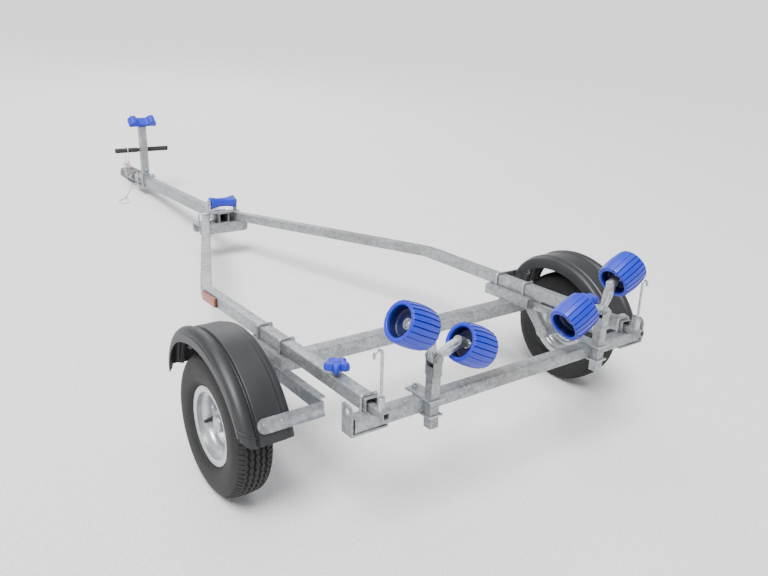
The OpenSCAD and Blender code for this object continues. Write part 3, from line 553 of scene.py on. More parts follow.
def rounded_rectangle(width: float, height: float, radius: float, steps: int = 5) -> np.ndarray:
    """A rectangle about the origin with a quarter circle at each corner, counterclockwise."""
    w, h = width / 2 - radius, height / 2 - radius
    a = np.linspace(0, math.pi / 2, steps)
    quarter = radius * np.stack([np.cos(a), np.sin(a)], 1)
    corners = [(w, h), (-w, h), (-w, -h), (w, -h)]
    out = []
    for i, corner in enumerate(corners):
        c, s = [(1, 0), (0, 1), (-1, 0), (0, -1)][i]
        out.append(np.array(corner) + quarter @ np.array([[c, s], [-s, c]]))
    return np.vstack(out)


def hump(values: np.ndarray, middle: float, width: float) -> np.ndarray:
    """A smooth hump: e to the power of minus the square of the distance from the middle over the width."""
    return np.exp(-((values - middle) / width) ** 2)


def circle(diameter: float, count: int = 16) -> np.ndarray:
    """Points on a circle about the origin."""
    a = np.arange(count) * TAU / count
    return diameter / 2 * np.stack([np.cos(a), np.sin(a)], 1)


def arc_corner(points: Sequence[Sequence[float]], radius: float, steps: int = 7) -> np.ndarray:
    """A line of points with each inner corner replaced by a circle's arc.

    Args:
        points: The corners, in space.
        radius: The arcs' radius.
        steps: The points on each arc.

    Returns:
        The points: each corner C becomes an arc tangent to both sides, about a centre on their bisector.
    """
    p = np.asarray(points, float)
    out = [p[:1]]
    for a, b, c in zip(p[:-2], p[1:-1], p[2:]):
        u, v = unit(a - b), unit(c - b)
        half = math.acos(float(np.clip(u @ v, -1, 1))) / 2
        middle = b + unit(u + v) * radius / math.sin(half)
        foot = b + u * radius / math.tan(half) - middle
        other = b + v * radius / math.tan(half) - middle
        sweep = math.pi - 2 * half
        t = np.linspace(0, 1, steps)[:, None]
        out.append(middle + (np.sin((1 - t) * sweep) * foot + np.sin(t * sweep) * other) / math.sin(sweep))
    return np.vstack(out + [p[-1:]])


def along(profile: np.ndarray, path: np.ndarray, first: Sequence[float]) -> np.ndarray:
    """A profile carried along a path.

    Args:
        profile: Points (n, 2), or one profile a path point (m, n, 2).
        path: Points (m, 3).
        first: The direction of the profile's first axis, held along the whole path.

    Returns:
        Points (m, n, 3): path + x * side + y * (tangent x side), widened at bends so that walls stay true.
    """
    path = np.asarray(path, float)
    steps = unit(np.diff(path, axis=0))
    before, after = np.vstack([steps[:1], steps]), np.vstack([steps, steps[-1:]])
    tangent = unit(before + after)
    stretch = 1 / np.maximum((tangent * after).sum(1), 0.3)
    side = np.asarray(first, float) - tangent * (tangent @ np.asarray(first, float))[:, None]
    side = unit(side)
    other = np.cross(tangent, side)
    bend = after - before
    wide = np.where(np.abs((bend * side).sum(1)) > np.abs((bend * other).sum(1)), stretch, 1.0)
    tall = np.where(wide > 1.0, 1.0, stretch)
    profile = np.broadcast_to(profile, (len(path), *profile.shape[-2:]))
    return (path[:, None] + profile[..., :1] * (wide[:, None] * side)[:, None]
            + profile[..., 1:] * (tall[:, None] * other)[:, None])


def lathed(profile: np.ndarray, count: int, middle: Sequence[float], axis: Sequence[float],
           radius_shift: np.ndarray | None = None) -> np.ndarray:
    """A profile turned about an axis.

    Args:
        profile: Points (n, 2) as radius and place along the axis.
        count: The number of points around.
        middle: The point on the axis where the profile's second coordinate is 0.
        axis: The axis's direction.
        radius_shift: An (n, count) array added to the radius, for ribs and tread.

    Returns:
        Points (n, count, 3): middle + z * axis + r * (cos a * u + sin a * v).
    """
    w = unit(np.asarray(axis, float))
    u = unit(np.cross(w, [1, 0, 0] if abs(w[0]) < 0.9 else [0, 0, 1]))
    v = np.cross(w, u)
    a = np.arange(count) * TAU / count
    ring = np.cos(a)[:, None] * u + np.sin(a)[:, None] * v
    r = np.repeat(profile[:, :1], count, 1) + (0 if radius_shift is None else radius_shift)
    return np.asarray(middle, float) + profile[:, None, 1:] * w + r[..., None] * ring


class Shape:
    """Closed surfaces gathered into one mesh, in level millimetres."""

    def __init__(self) -> None:
        """Starts with no surface."""
        self.points: list[np.ndarray] = []
        self.faces: list[list[int]] = []
        self.count = 0

    def grid(self, points: np.ndarray, loop: bool = False) -> "Shape":
        """Adds a closed surface from a grid of points whose last column joins its first.

        Args:
            points: Points (rows, columns, 3).
            loop: Whether the last row joins the first. Otherwise each end row gets a cap.

        Returns:
            This shape, with the faces turned outwards by the sign of the surface's volume.
        """
        rows, columns = points.shape[:2]
        i = np.arange(rows if loop else rows - 1)[:, None]
        j = np.arange(columns)[None, :]
        below, right = (i + 1) % rows, (j + 1) % columns
        quads = np.stack([i * columns + j, i * columns + right, below * columns + right,
                          below * columns + j], -1).reshape(-1, 4)
        flat = points.reshape(-1, 3)
        a, b, c, d = (flat[quads[:, k]] - flat.mean(0) for k in range(4))
        volume = float((a * np.cross(b, c)).sum() + (a * np.cross(c, d)).sum())
        faces = quads.tolist()
        if not loop:
            for row, order in ((0, -1), (rows - 1, 1)):
                cap = (row * columns + np.arange(columns))[::order]
                ends = flat[cap] - flat.mean(0)
                volume += float(sum(ends[0] @ np.cross(ends[k], ends[k + 1]) for k in range(1, columns - 1)))
                faces.append(cap.tolist())
        if volume < 0:
            faces = [f[::-1] for f in faces]
        self.points.append(flat)
        self.faces += [[k + self.count for k in f] for f in faces]
        self.count += len(flat)
        return self

    def tube(self, outer: np.ndarray, inner: np.ndarray, path: np.ndarray,
             first: Sequence[float]) -> "Shape":
        """Adds an open-ended tube: the outer face, both ends and the inner face as one closed loop.

        Args:
            outer: The outer profile (n, 2).
            inner: The inner profile (n, 2).
            path: The centre line (m, 3).
            first: The direction of the profile's first axis.

        Returns:
            This shape.
        """
        path = np.asarray(path, float)
        tip = SAWN_EDGE * unit(path[1] - path[0])
        tail = SAWN_EDGE * unit(path[-1] - path[-2])
        line = np.vstack([path[:1], path[:1] + tip, path[1:-1], path[-1:] - tail, path[-1:]])
        shrink = np.ones(len(line))
        shrink[[0, -1]] = 1 - SAWN_EDGE / np.abs(outer).max()
        skin = along(outer[None] * shrink[:, None, None], line, first)
        bore = along(inner, line, first)[::-1]
        return self.grid(np.concatenate([skin, bore]), loop=True)

    def rod(self, path: np.ndarray, diameter: float, first: Sequence[float] = (0, 0, 1),
            count: int = 14) -> "Shape":
        """Adds a round rod along a path, with domed ends."""
        path = np.asarray(path, float)
        tip, tail = (DOME * diameter * unit(path[a] - path[b]) for a, b in ((1, 0), (-1, -2)))
        line = np.vstack([path[:1], path[:1] + tip, path[1:-1], path[-1:] - tail, path[-1:]])
        shrink = np.ones((len(line), 1, 1))
        shrink[[0, -1]] = DOME_FACE
        return self.grid(along(circle(diameter, count)[None] * shrink, line, first))

    def turn(self, profile: Sequence[Sequence[float]], middle: Sequence[float], axis: Sequence[float],
             count: int = 48, loop: bool = False) -> "Shape":
        """Adds a turned solid, from its profile of radius and place along the axis."""
        return self.grid(lathed(np.asarray(profile, float), count, middle, axis), loop=loop)

    def hexagon(self, across: float, height: float, middle: Sequence[float], axis: Sequence[float],
                start: float = 0) -> "Shape":
        """Adds a hexagon chamfered at both ends: apothem / cos(a) about each flat, cut by two cones.

        Args:
            across: The width across the flats.
            height: The height along the axis.
            middle: The centre of the lower face.
            axis: The direction from the lower face to the upper.
            start: Where the lower face lies past the middle.

        Returns:
            This shape.
        """
        count = 24
        a = np.arange(count) * TAU / count
        flat = across / 2 / np.cos((a + math.pi / 6) % (math.pi / 3) - math.pi / 6)
        cut = across * 0.53
        rows = [(0.0, 0.97), (0.12 * height, 2), (0.86 * height, 2), (height, 0.97)]
        radii = np.array([np.minimum(flat, cut * share) for _, share in rows])
        profile = np.array([[0.0, start + z] for z, _ in rows])
        return self.grid(lathed(profile, count, middle, axis, radii))

    def bolt(self, size: float, middle: Sequence[float], axis: Sequence[float], nut: bool = False) -> "Shape":
        """Adds a bolt's head, or a nut with the bolt's end through it, on a washer.

        Its radii and heights are shares of the thread's diameter.

        Args:
            size: The thread's diameter.
            middle: The point on the plate.
            axis: The direction out of the plate.
            nut: Whether this is the nut's end.

        Returns:
            This shape.
        """
        self.turn([[0, 0], [size * 1.05, 0], [size * 1.1, 0.3], [size * 1.1, 1.2], [size * 1.02, 1.5],
                   [0, 1.5]], middle, axis, 24)
        self.hexagon(size * 1.65, size * (0.8 if nut else 0.65), middle, axis, 1.4)
        if nut:
            top = 1.4 + size * 0.8
            self.turn([[0, top - 1], [size / 2, top - 1], [size / 2, top + size * 0.3],
                       [size * 0.36, top + size * 0.42], [0, top + size * 0.42]], middle, axis, 16)
        return self

    def bead(self, path: Sequence[Sequence[float]], size: float,
             first: Sequence[float] = (0, 0, 1)) -> "Shape":
        """Adds a weld bead: a round run whose radius ripples along its length."""
        corners = np.asarray(path, float)
        lengths = np.linalg.norm(np.diff(corners, axis=0), axis=1)
        at = np.concatenate([[0], np.cumsum(lengths)])
        s = np.arange(0, at[-1], size * BEAD_STEP)
        line = np.stack([np.interp(s, at, corners[:, k]) for k in range(3)], 1)
        ripple = 1 + BEAD_RIPPLE * np.cos(s / (size * BEAD_WAVE) * TAU)
        ripple[[0, -1]] = BEAD_END
        return self.grid(along(circle(size, 8)[None] * ripple[:, None, None], line, first))

    def ring_bead(self, middle: Sequence[float], radius: float, size: float, steps: int) -> "Shape":
        """Adds a weld bead in a level ring, for the foot of an upright part.

        Args:
            middle: The ring's middle.
            radius: The ring's radius.
            size: The bead's width.
            steps: The points around.

        Returns:
            This shape.
        """
        x, y, z = middle
        return self.bead([[x + radius * math.cos(t), y + radius * math.sin(t), z]
                          for t in np.linspace(0, TAU, steps)], size)

    def mirrored(self, side: Side) -> "Shape":
        """This shape for a side: on the right, Y and every face's order turn over."""
        if side is Side.RIGHT:
            self.points = [p * [1, -1, 1] for p in self.points]
            self.faces = [f[::-1] for f in self.faces]
        return self

    def piece(self, name: str, node: str, slot: Slot, replaces: Iterable[str] = (), sharp: float = 35,
              material: bpy.types.Material | None = None) -> bpy.types.Object:
        """Makes the gathered surfaces one finished piece.

        Args:
            name: The piece's name.
            node: A CAD node on the body that it rides on.
            slot: The material slot.
            replaces: The CAD nodes that it stands for.
            sharp: The angle past which an edge stays sharp, in degrees.
            material: A material other than the slot's own.

        Returns:
            The object, at the origin, with its place in its mesh.
        """
        mesh = bpy.data.meshes.new(name)
        mesh.from_pydata(STANCE.world(np.vstack(self.points)), [], self.faces)
        with mended(mesh) as made:
            bmesh.ops.remove_doubles(made, verts=made.verts, dist=MERGE)
        return dressed(bpy.data.objects.new(name, mesh), node, slot, replaces, sharp, material)


def dressed(piece: bpy.types.Object, node: str, slot: Slot, replaces: Iterable[str] = (),
            sharp: float = 35, material: bpy.types.Material | None = None) -> bpy.types.Object:
    """Links a piece into the scene, shades it, gives it its material and puts it on its body.

    Args:
        piece: The object.
        node: A CAD node on the body that it rides on.
        slot: The material slot.
        replaces: The CAD nodes that it stands for.
        sharp: The angle past which an edge stays sharp, in degrees.
        material: A material other than the slot's own.

    Returns:
        The piece.
    """
    bpy.context.scene.collection.objects.link(piece)
    smooth = np.ones(len(piece.data.polygons), bool)
    piece.data.polygons.foreach_set("use_smooth", smooth)
    piece.data.set_sharp_from_angle(angle=math.radians(sharp))
    piece.data.materials.clear()
    piece.data.materials.append(material or FINISHES[slot])
    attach(piece, BODY_OF[node])
    if replaces:
        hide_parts(*replaces)
    LOG.info("%s: %d faces", piece.name, len(piece.data.polygons))
    return piece


FINISHES: dict[Slot, bpy.types.Material] = {
    Slot.GALVANISED: HotDipZinc().make(),
    Slot.ZINC: BrightZinc().make(),
    Slot.RIM: RimPaint().make(),
    Slot.TYRE: TyreRubber().make(),
    Slot.ROLLER: BluePlastic("roller_blue").make(),
    Slot.MOULDED: BluePlastic("moulded_blue", roughness=0.44).make(),
    Slot.GUARD: BlackPlastic("guard_black").make(),
    Slot.GRIP: BlackPlastic("grip_black", (0.012, 0.012, 0.013), (0.03, 0.03, 0.03), 0.55).make(),
    Slot.COUPLING: PressedSteel().make(),
    Slot.REFLECTOR: AmberLens().make(),
    Slot.CABLE: SleevedRope().make(),
}


# ---- studio ----


@dataclass(frozen=True)
class Lamp:
    """One studio light, facing the origin.

    Attributes:
        name: Its name.
        kind: SUN or AREA.
        place: Where it stands in metres, which for a sun is only the direction that it shines from.
        size: An area light's side in metres, or a sun's width in radians.
        power: An area light's watts, or a sun's strength.
    """

    name: str
    kind: str
    place: tuple[float, float, float]
    size: float
    power: float


LAMPS = (Lamp("key", "SUN", (-0.25, 0.45, 1.0), 0.5, 5.2), Lamp("top", "AREA", (-0.4, 0.8, 4.6), 4.0, 130),
         Lamp("rim", "AREA", (4.5, -1.5, 3.5), 2.5, 90))


def stood(name: str, data: bpy.types.ID, axes: np.ndarray, place: Sequence[float]) -> bpy.types.Object:
    """Puts a camera or light into the scene.

    Args:
        name: The object's name.
        data: Its camera or light.
        axes: Its own axes as columns.
        place: Its place in metres.

    Returns:
        The object.
    """
    matrix = np.eye(4)
    matrix[:3, :3] = axes
    matrix[:3, 3] = place
    made = bpy.data.objects.new(name, data)
    made.matrix_world = Matrix(matrix.tolist())
    bpy.context.scene.collection.objects.link(made)
    return made


@dataclass
class Studio:
    """The floor, the lights and the camera.

    Attributes:
        target: The level point in the middle of the view, in millimetres.
        distance: How far the camera stands from it.
        azimuth: How far round from straight behind, towards the left, in degrees.
        elevation: How far above the level frame, in degrees.
        roll: The camera's roll, in degrees.
        focal: The focal length in image widths.
        horizon: The sky's brightness at the horizon.
        zenith: The sky's brightness high up.
        sky_places: The heights at which the sky has each, as shares of the way up.
        floor_reach: Half the floor's side, in metres.
        floor_gap: How far the floor lies under the tyres, in metres.
        floor_white: The floor's colour.
    """

    target: tuple[float, float, float] = (227.4, 1.3, 209.2)
    distance: float = 2645.8
    azimuth: float = 36.24
    elevation: float = 18.69
    roll: float = -1.58
    focal: float = 755 / 768
    horizon: float = 1.6
    zenith: float = 0.5
    sky_places: tuple[float, float] = (0.02, 0.45)
    floor_reach: float = 300.0
    floor_gap: float = 0.0005
    floor_white: tuple[float, float, float] = (0.93, 0.93, 0.94)

    def camera(self) -> bpy.types.Object:
        """Adds the camera.

        Returns:
            The camera, which is also made the scene's.
        """
        a, e, r = (math.radians(x) for x in (self.azimuth, self.elevation, self.roll))
        back = np.array([-math.cos(e) * math.cos(a), math.cos(e) * math.sin(a), math.sin(e)])
        right = unit(np.cross(-back, [0, 0, 1]))
        down = np.cross(-back, right)
        rolled = math.cos(r) * right + math.sin(r) * down
        up = math.sin(r) * right - math.cos(r) * down
        place = STANCE.world(np.array(self.target) + self.distance * back)
        data = bpy.data.cameras.new("camera")
        data.sensor_width = 36
        data.lens = self.focal * data.sensor_width
        data.clip_end = 100
        camera = stood("camera", data, STANCE.axes.T @ np.stack([rolled, up, back], 1), place)
        bpy.context.scene.camera = camera
        return camera

    def floor(self) -> None:
        """Adds a plain pale floor just under the tyres."""
        mesh = bpy.data.meshes.new("floor")
        corners = [(x * self.floor_reach, y * self.floor_reach, -self.floor_gap)
                   for x, y in ((-1, -1), (1, -1), (1, 1), (-1, 1))]
        mesh.from_pydata(corners, [], [(0, 1, 2, 3)])
        floor = bpy.data.objects.new("floor", mesh)
        bpy.context.scene.collection.objects.link(floor)
        mesh.materials.append(Paint("floor_white", self.floor_white, 0.8).make())

    def lights(self) -> None:
        """Adds a sky that pales to the horizon, a soft sun and two large soft lights."""
        world = bpy.data.worlds.new("studio")
        bpy.context.scene.world = world
        world.use_nodes = True
        tree = world.node_tree
        place = tree.nodes.new("ShaderNodeTexCoord")
        split = tree.nodes.new("ShaderNodeSeparateXYZ")
        ramp = tree.nodes.new("ShaderNodeValToRGB")
        tree.links.new(place.outputs["Generated"], split.inputs[0])
        tree.links.new(split.outputs["Z"], ramp.inputs["Fac"])
        tree.links.new(ramp.outputs["Color"], tree.nodes["Background"].inputs["Color"])
        levels = (self.horizon, self.zenith)
        for element, at, level in zip(ramp.color_ramp.elements, self.sky_places, levels):
            element.position = at
            element.color = (level * 0.98, level * 0.99, level, 1)
        for lamp in LAMPS:
            data = bpy.data.lights.new(lamp.name, lamp.kind)
            data.energy = lamp.power
            setattr(data, "angle" if lamp.kind == "SUN" else "size", lamp.size)
            back = unit(np.array(lamp.place))
            right = unit(np.cross([0, 0, 1], back))
            stood(lamp.name, data, np.stack([right, np.cross(back, right), back], 1), lamp.place)


# ---- safety cables ----


@dataclass
class SafetyCable:
    """The two ends of the thin sleeved safety cable, at the places of its CAD solids.

    Attributes:
        diameter: The sleeve's diameter in metres.
        lower: The route from the block under the drawbar to the eye on the ground, in metres.
        upper: The route from the coupling over the pull handle to the clip, in metres.
        around: The rope's points around.
        strands: Its strands.
        lay: The length in which a strand winds round once, in millimetres.
        eye_turn: The way that the eye points, as an angle from straight ahead on the ground, in degrees.
        eye_neck: How far from the rope's end the eye begins, in millimetres.
        eye_reach: Half the eye's length, in millimetres.
        eye_breadth: What its breadth grows with, in millimetres.
        link_wire: The snap link's wire, in millimetres.
        link_round: The radius of its two rounded ends.
        link_half: Half the distance between their centres.
        link_drop: How far below the rope's end its middle hangs.
    """

    around: int = 24
    strands: int = 6
    lay: float = 72.0
    eye_turn: float = 155.0
    eye_neck: float = 22.0
    eye_reach: float = 46.0
    eye_breadth: float = 36.4
    link_wire: float = 3.6
    link_round: float = 6.1
    link_half: float = 11.0
    link_drop: float = 29.0
    diameter: float = 0.004
    lower: tuple[tuple[float, float, float], ...] = (
        (1.466, 0.014, 0.0286), (1.466, 0.024, 0.028), (1.464, 0.035, 0.026), (1.459, 0.046, 0.022),
        (1.452, 0.056, 0.0165), (1.443, 0.065, 0.011), (1.432, 0.073, 0.007), (1.420, 0.080, 0.0045),
        (1.406, 0.088, 0.0035), (1.390, 0.097, 0.003), (1.373, 0.106, 0.003), (1.356, 0.115, 0.003),
        (1.339, 0.124, 0.0032), (1.322, 0.132, 0.0036), (1.314, 0.1357, 0.004), (1.306, 0.1394, 0.004))
    upper: tuple[tuple[float, float, float], ...] = (
        (1.530, 0.0305, 0.052), (1.530, 0.041, 0.051), (1.527, 0.052, 0.052), (1.521, 0.062, 0.057),
        (1.512, 0.071, 0.067), (1.501, 0.078, 0.082), (1.489, 0.082, 0.101), (1.477, 0.085, 0.123),
        (1.466, 0.087, 0.148), (1.456, 0.088, 0.175), (1.447, 0.088, 0.202), (1.440, 0.088, 0.228),
        (1.4367, 0.088, 0.247), (1.4346, 0.088, 0.2552), (1.4285, 0.088, 0.2613), (1.420, 0.088, 0.2637),
        (1.4113, 0.088, 0.2613), (1.4052, 0.088, 0.2552), (1.4029, 0.088, 0.247), (1.402, 0.088, 0.228),
        (1.401, 0.088, 0.208), (1.401, 0.088, 0.190))

    def rope(self, name: str, route: Sequence[Sequence[float]], node: str) -> bpy.types.Object:
        """Makes one run of cable as a ridged tube: its radius ripples with the strands that wind round it.

        Args:
            name: The piece's name.
            route: The centre line in metres.
            node: The CAD node that it stands for.

        Returns:
            The piece.
        """
        line = smooth_line(STANCE.level(np.array(route)), 8)
        lower = node == "lower_cable"
        if lower:
            line = np.vstack([line, self.teardrop()[0]])
        s = np.concatenate([[0], np.cumsum(np.linalg.norm(np.diff(line, axis=0), axis=1))])
        a = np.arange(self.around) * TAU / self.around
        ridge = 1 + 0.06 * np.cos(self.strands * (a[None] - s[:, None] / self.lay * TAU))
        ring = self.diameter / MM / 2 * ridge
        profile = np.stack([ring * np.cos(a), ring * np.sin(a)], -1)
        shape = Shape()
        shape.grid(along(profile, line, (0, 0, 1) if name == "lower_cable_rope" else (0, 1, 0)))
        piece = shape.piece(name, node, Slot.CABLE, [node, "cable_eye"] if lower else [node], 60)
        path = STANCE.world(line)
        with_pieces = [self.ferrule()] if lower else [self.clip()]
        return piece

    def teardrop(self) -> tuple[np.ndarray, np.ndarray]:
        """Works out the eye's line on the ground and the ferrule's, from the end of the lower route.

        Along the eye, the way out is the neck plus the reach times 1 - cos a, and the way across is
        the breadth times sin a sin(a / 2).

        Returns:
            The eye's centre line and the ferrule's, in level millimetres.
        """
        end = STANCE.level(np.array(self.lower[-1]))
        a = math.radians(self.eye_turn)
        toward, beside = np.array([math.cos(a), math.sin(a), 0]), np.array([-math.sin(a), math.cos(a), 0])
        x = np.radians(np.arange(22, 339, 4))
        loop = (self.eye_neck + self.eye_reach * (1 - np.cos(x)))[:, None] * toward
        loop = loop + (self.eye_breadth * np.sin(x) * np.sin(x / 2))[:, None] * beside - [0, 0, 1.4]
        ferrule = np.array([0, 3, 23, 26])[:, None] * toward + [0, 0, -0.6]
        return end + loop @ STANCE.axes.T, end + ferrule @ STANCE.axes.T

    def ferrule(self) -> bpy.types.Object:
        """Makes the flat pressed ferrule that closes the eye.

        Returns:
            The piece, which is the fitting at the cord's end.
        """
        flat = rounded_rectangle(5.8, 11.6, 2.8)
        sizes = np.array([0.8, 1, 1, 0.8])[:, None, None]
        shape = Shape().grid(along(flat[None] * sizes, self.teardrop()[1], self.upright()))
        return shape.piece("cable_ferrule", "cable_eye", Slot.ZINC)

    @staticmethod
    def upright() -> np.ndarray:
        """The ground's up direction in level axes."""
        return STANCE.axes @ np.array([0, 0, 1.0])

    def clip(self) -> bpy.types.Object:
        """Makes the collar and the snap link that hang from the upper cable."""
        end = np.array(self.upper[-1])
        shape = Shape()
        down = -self.upright()
        shape.turn([[0, 0], [3.6, 0], [4, 0.6], [4, 4], [3.4, 5], [4, 6], [4, 11.4], [3.4, 12], [0, 12]],
                   STANCE.level(end), down, 20)
        a = np.linspace(0, TAU, 49)[:-1]
        straight = self.link_half * np.sign(np.sin(a)) * (np.abs(np.sin(a)) > 0.01)
        height = straight + self.link_round * np.sin(a) - self.link_drop
        link = STANCE.level(np.stack([0 * a, self.link_round * np.cos(a), height], 1) * MM + end)
        ring = along(circle(self.link_wire, 10), np.vstack([link, link[:1]]), (1, 0, 0))[:-1]
        shape.grid(ring, loop=True)
        return shape.piece("cable_clip_link", "cable_clip", Slot.ZINC, ["cable_clip"], 50)

    def build(self) -> None:
        """Makes both cables with what is on them."""
        self.rope("lower_cable_rope", self.lower, "lower_cable")
        self.rope("upper_cable_rope", self.upper, "upper_cable")


# ---- frame ----


@dataclass
class TubeFrame:
    """The square tubes of the frame, with rounded corners, open ends and their real wall.

    Attributes:
        wall: The tubes' wall.
        corner: The outer radius of a tube's corners.
        bend_reach: The radius that the side rails are bent to.
        hole_aside: How far to the right of the winch post's middle its hole is.
        hole_up: How far above its foot.
    """

    wall: float = 3.0
    corner: float = 4.5
    bend_reach: float = 150.0
    hole_aside: float = 4.0
    hole_up: float = 24.0

    def section(self, size: float, wall: float | None = None) -> tuple[np.ndarray, np.ndarray]:
        """The outer and inner profiles of a square tube."""
        wall = wall or self.wall
        radius = min(self.corner, size * 0.16)
        inside = size - 2 * wall
        return (rounded_rectangle(size, size, radius),
                rounded_rectangle(inside, inside, max(radius - wall, 0.8)))

    def straight(self, node: str, axis: int, wall: float | None = None) -> bpy.types.Object:
        """Makes a straight tube in the place of a CAD node.

        Args:
            node: The CAD node.
            axis: The level axis that it runs along.
            wall: Its wall, when it isn't the frame's.

        Returns:
            The piece.
        """
        low, high = STANCE.box(node)
        middle = (low + high) / 2
        ends = np.array([middle, middle])
        ends[:, axis] = low[axis], high[axis]
        shape = Shape().tube(*self.section(float(np.delete(high - low, axis).min()), wall), ends,
                             np.eye(3)[(axis + 1) % 3])
        return shape.piece(node + "_tube", node, Slot.GALVANISED, [node])

    def rail(self, side: Side) -> bpy.types.Object:
        """Makes a side rail: straight from the rear, then bent inwards to meet the drawbar.

        Args:
            side: The side.

        Returns:
            The piece.
        """
        node = f"side_rail_{side.word}"
        low, high = STANCE.box("side_rail_left")
        size = high[2] - low[2]
        outer_y, z = high[1] - size / 2, (low[2] + high[2]) / 2
        turn = rail_slope("side_rail_left")
        front = np.array([high[0] - size / 2 * math.sin(turn), low[1] + size / 2 * math.cos(turn), z])
        bend = np.array([front[0] - (outer_y - front[1]) / math.tan(turn), outer_y, z])
        front = front + (front - bend) * (size / 2 * math.sin(turn) / (front[0] - bend[0]))
        line = arc_corner([[low[0], outer_y, z], bend, front], self.bend_reach, 9)
        shape = Shape().tube(*self.section(size), line, (0, 0, 1))
        cut = high[0]
        for points in shape.points:
            points[:, 0] = np.minimum(points[:, 0], cut)
        return shape.mirrored(side).piece(node + "_tube", node, Slot.GALVANISED, [node])

    def post(self) -> bpy.types.Object:
        """Makes the winch post, whose top is cut to the slope of the snubber that it carries.

        A flat dark disc low in its rear face is painted shade, standing for the hole there.

        Returns:
            The piece.
        """
        low, high = STANCE.box("winch_post")
        middle = (low + high) / 2
        size = high[0] - low[0]
        rows = []
        for profile in self.section(size):
            foot = np.concatenate([profile + middle[:2], np.full((len(profile), 1), low[2])], 1)
            top = foot.copy()
            top[:, 2] = high[2] - (high[0] - foot[:, 0])
            rows.append((foot, top))
        shape = Shape().grid(np.array([rows[0][0], rows[0][1], rows[1][1], rows[1][0]]), loop=True)
        # Painted shade: a thin black disc in the place of the hole's dark inside.
        hole_shade = Shape().turn([[0, -1.5], [5.2, -1.5], [5.2, 0.1], [4.6, 0.3], [0, 0.2]],
                            (low[0], middle[1] - self.hole_aside, low[2] + self.hole_up), (-1, 0, 0), 24)
        hole_shade.piece("post_hole_plug", "winch_post", Slot.GRIP)
        return shape.piece("winch_post_tube", "winch_post", Slot.GALVANISED, ["winch_post"])

    def build(self) -> None:
        """Makes the drawbar, rails, axle beam, crossmember, winch post and light carriers."""
        self.straight("drawbar", 0)
        self.straight("axle_beam", 1, 4.0)
        self.straight("rear_crossmember", 1)
        self.post()
        for side in Side:
            self.rail(side)
            self.straight(f"light_carrier_{side.word}", 0, 2.0)


def rail_slope(node: str) -> float:
    """The angle in radians at which a bent rail runs inwards, from the slope of its outer wall.

    Args:
        node: The rail's CAD node.

    Returns:
        The angle from the X axis.
    """
    points = STANCE.vertices(node)
    front = points[points[:, 0] > points[:, 0].max() - 1]
    outer = front[front[:, 1].argmax()]
    bend = points[points[:, 1] > points[:, 1].max() - 0.5]
    corner = bend[bend[:, 0].argmax()]
    return math.atan2(corner[1] - outer[1], outer[0] - corner[0])


@dataclass
class PressedPart:
    """A CAD part whose own shape is right, with its edges broken as a press, saw or mould leaves them.

    Attributes:
        node: The CAD node.
        slot: Its material slot.
        edge: The width of the broken edge in millimetres.
        steps: The faces across it.
        merge: Points nearer than this many metres become one.
        flat: Faces that bend less than this become one, in degrees.
        fold: An edge is broken where its faces bend more than this, in degrees.
    """

    node: str
    slot: Slot
    edge: float = 0.8
    steps: int = 2
    merge: float = 1e-5
    flat: float = 0.5
    fold: float = 33.0

    def build(self) -> bpy.types.Object:
        """Copies the CAD mesh, merges it, dissolves its flat faces and bevels its sharp edges.

        Returns:
            The piece that stands for the node.
        """
        mesh = frame["nodes"][self.node].data.copy()
        mesh.name = f"{self.node}_pressed"
        with mended(mesh) as made:
            bmesh.ops.remove_doubles(made, verts=made.verts, dist=self.merge)
            bmesh.ops.dissolve_limit(made, angle_limit=math.radians(self.flat), verts=made.verts,
                                     edges=made.edges)
        if "custom_normal" in mesh.attributes:
            mesh.attributes.remove(mesh.attributes["custom_normal"])
        piece = bpy.data.objects.new(f"{self.node}_pressed", mesh)
        bevel = piece.modifiers.new("broken edges", "BEVEL")
        bevel.width = self.edge * MM
        bevel.segments = self.steps
        bevel.limit_method = "ANGLE"
        bevel.angle_limit = math.radians(self.fold)
        bevel.use_clamp_overlap = True
        dressed(piece, self.node, self.slot, [self.node], 40)
        return piece


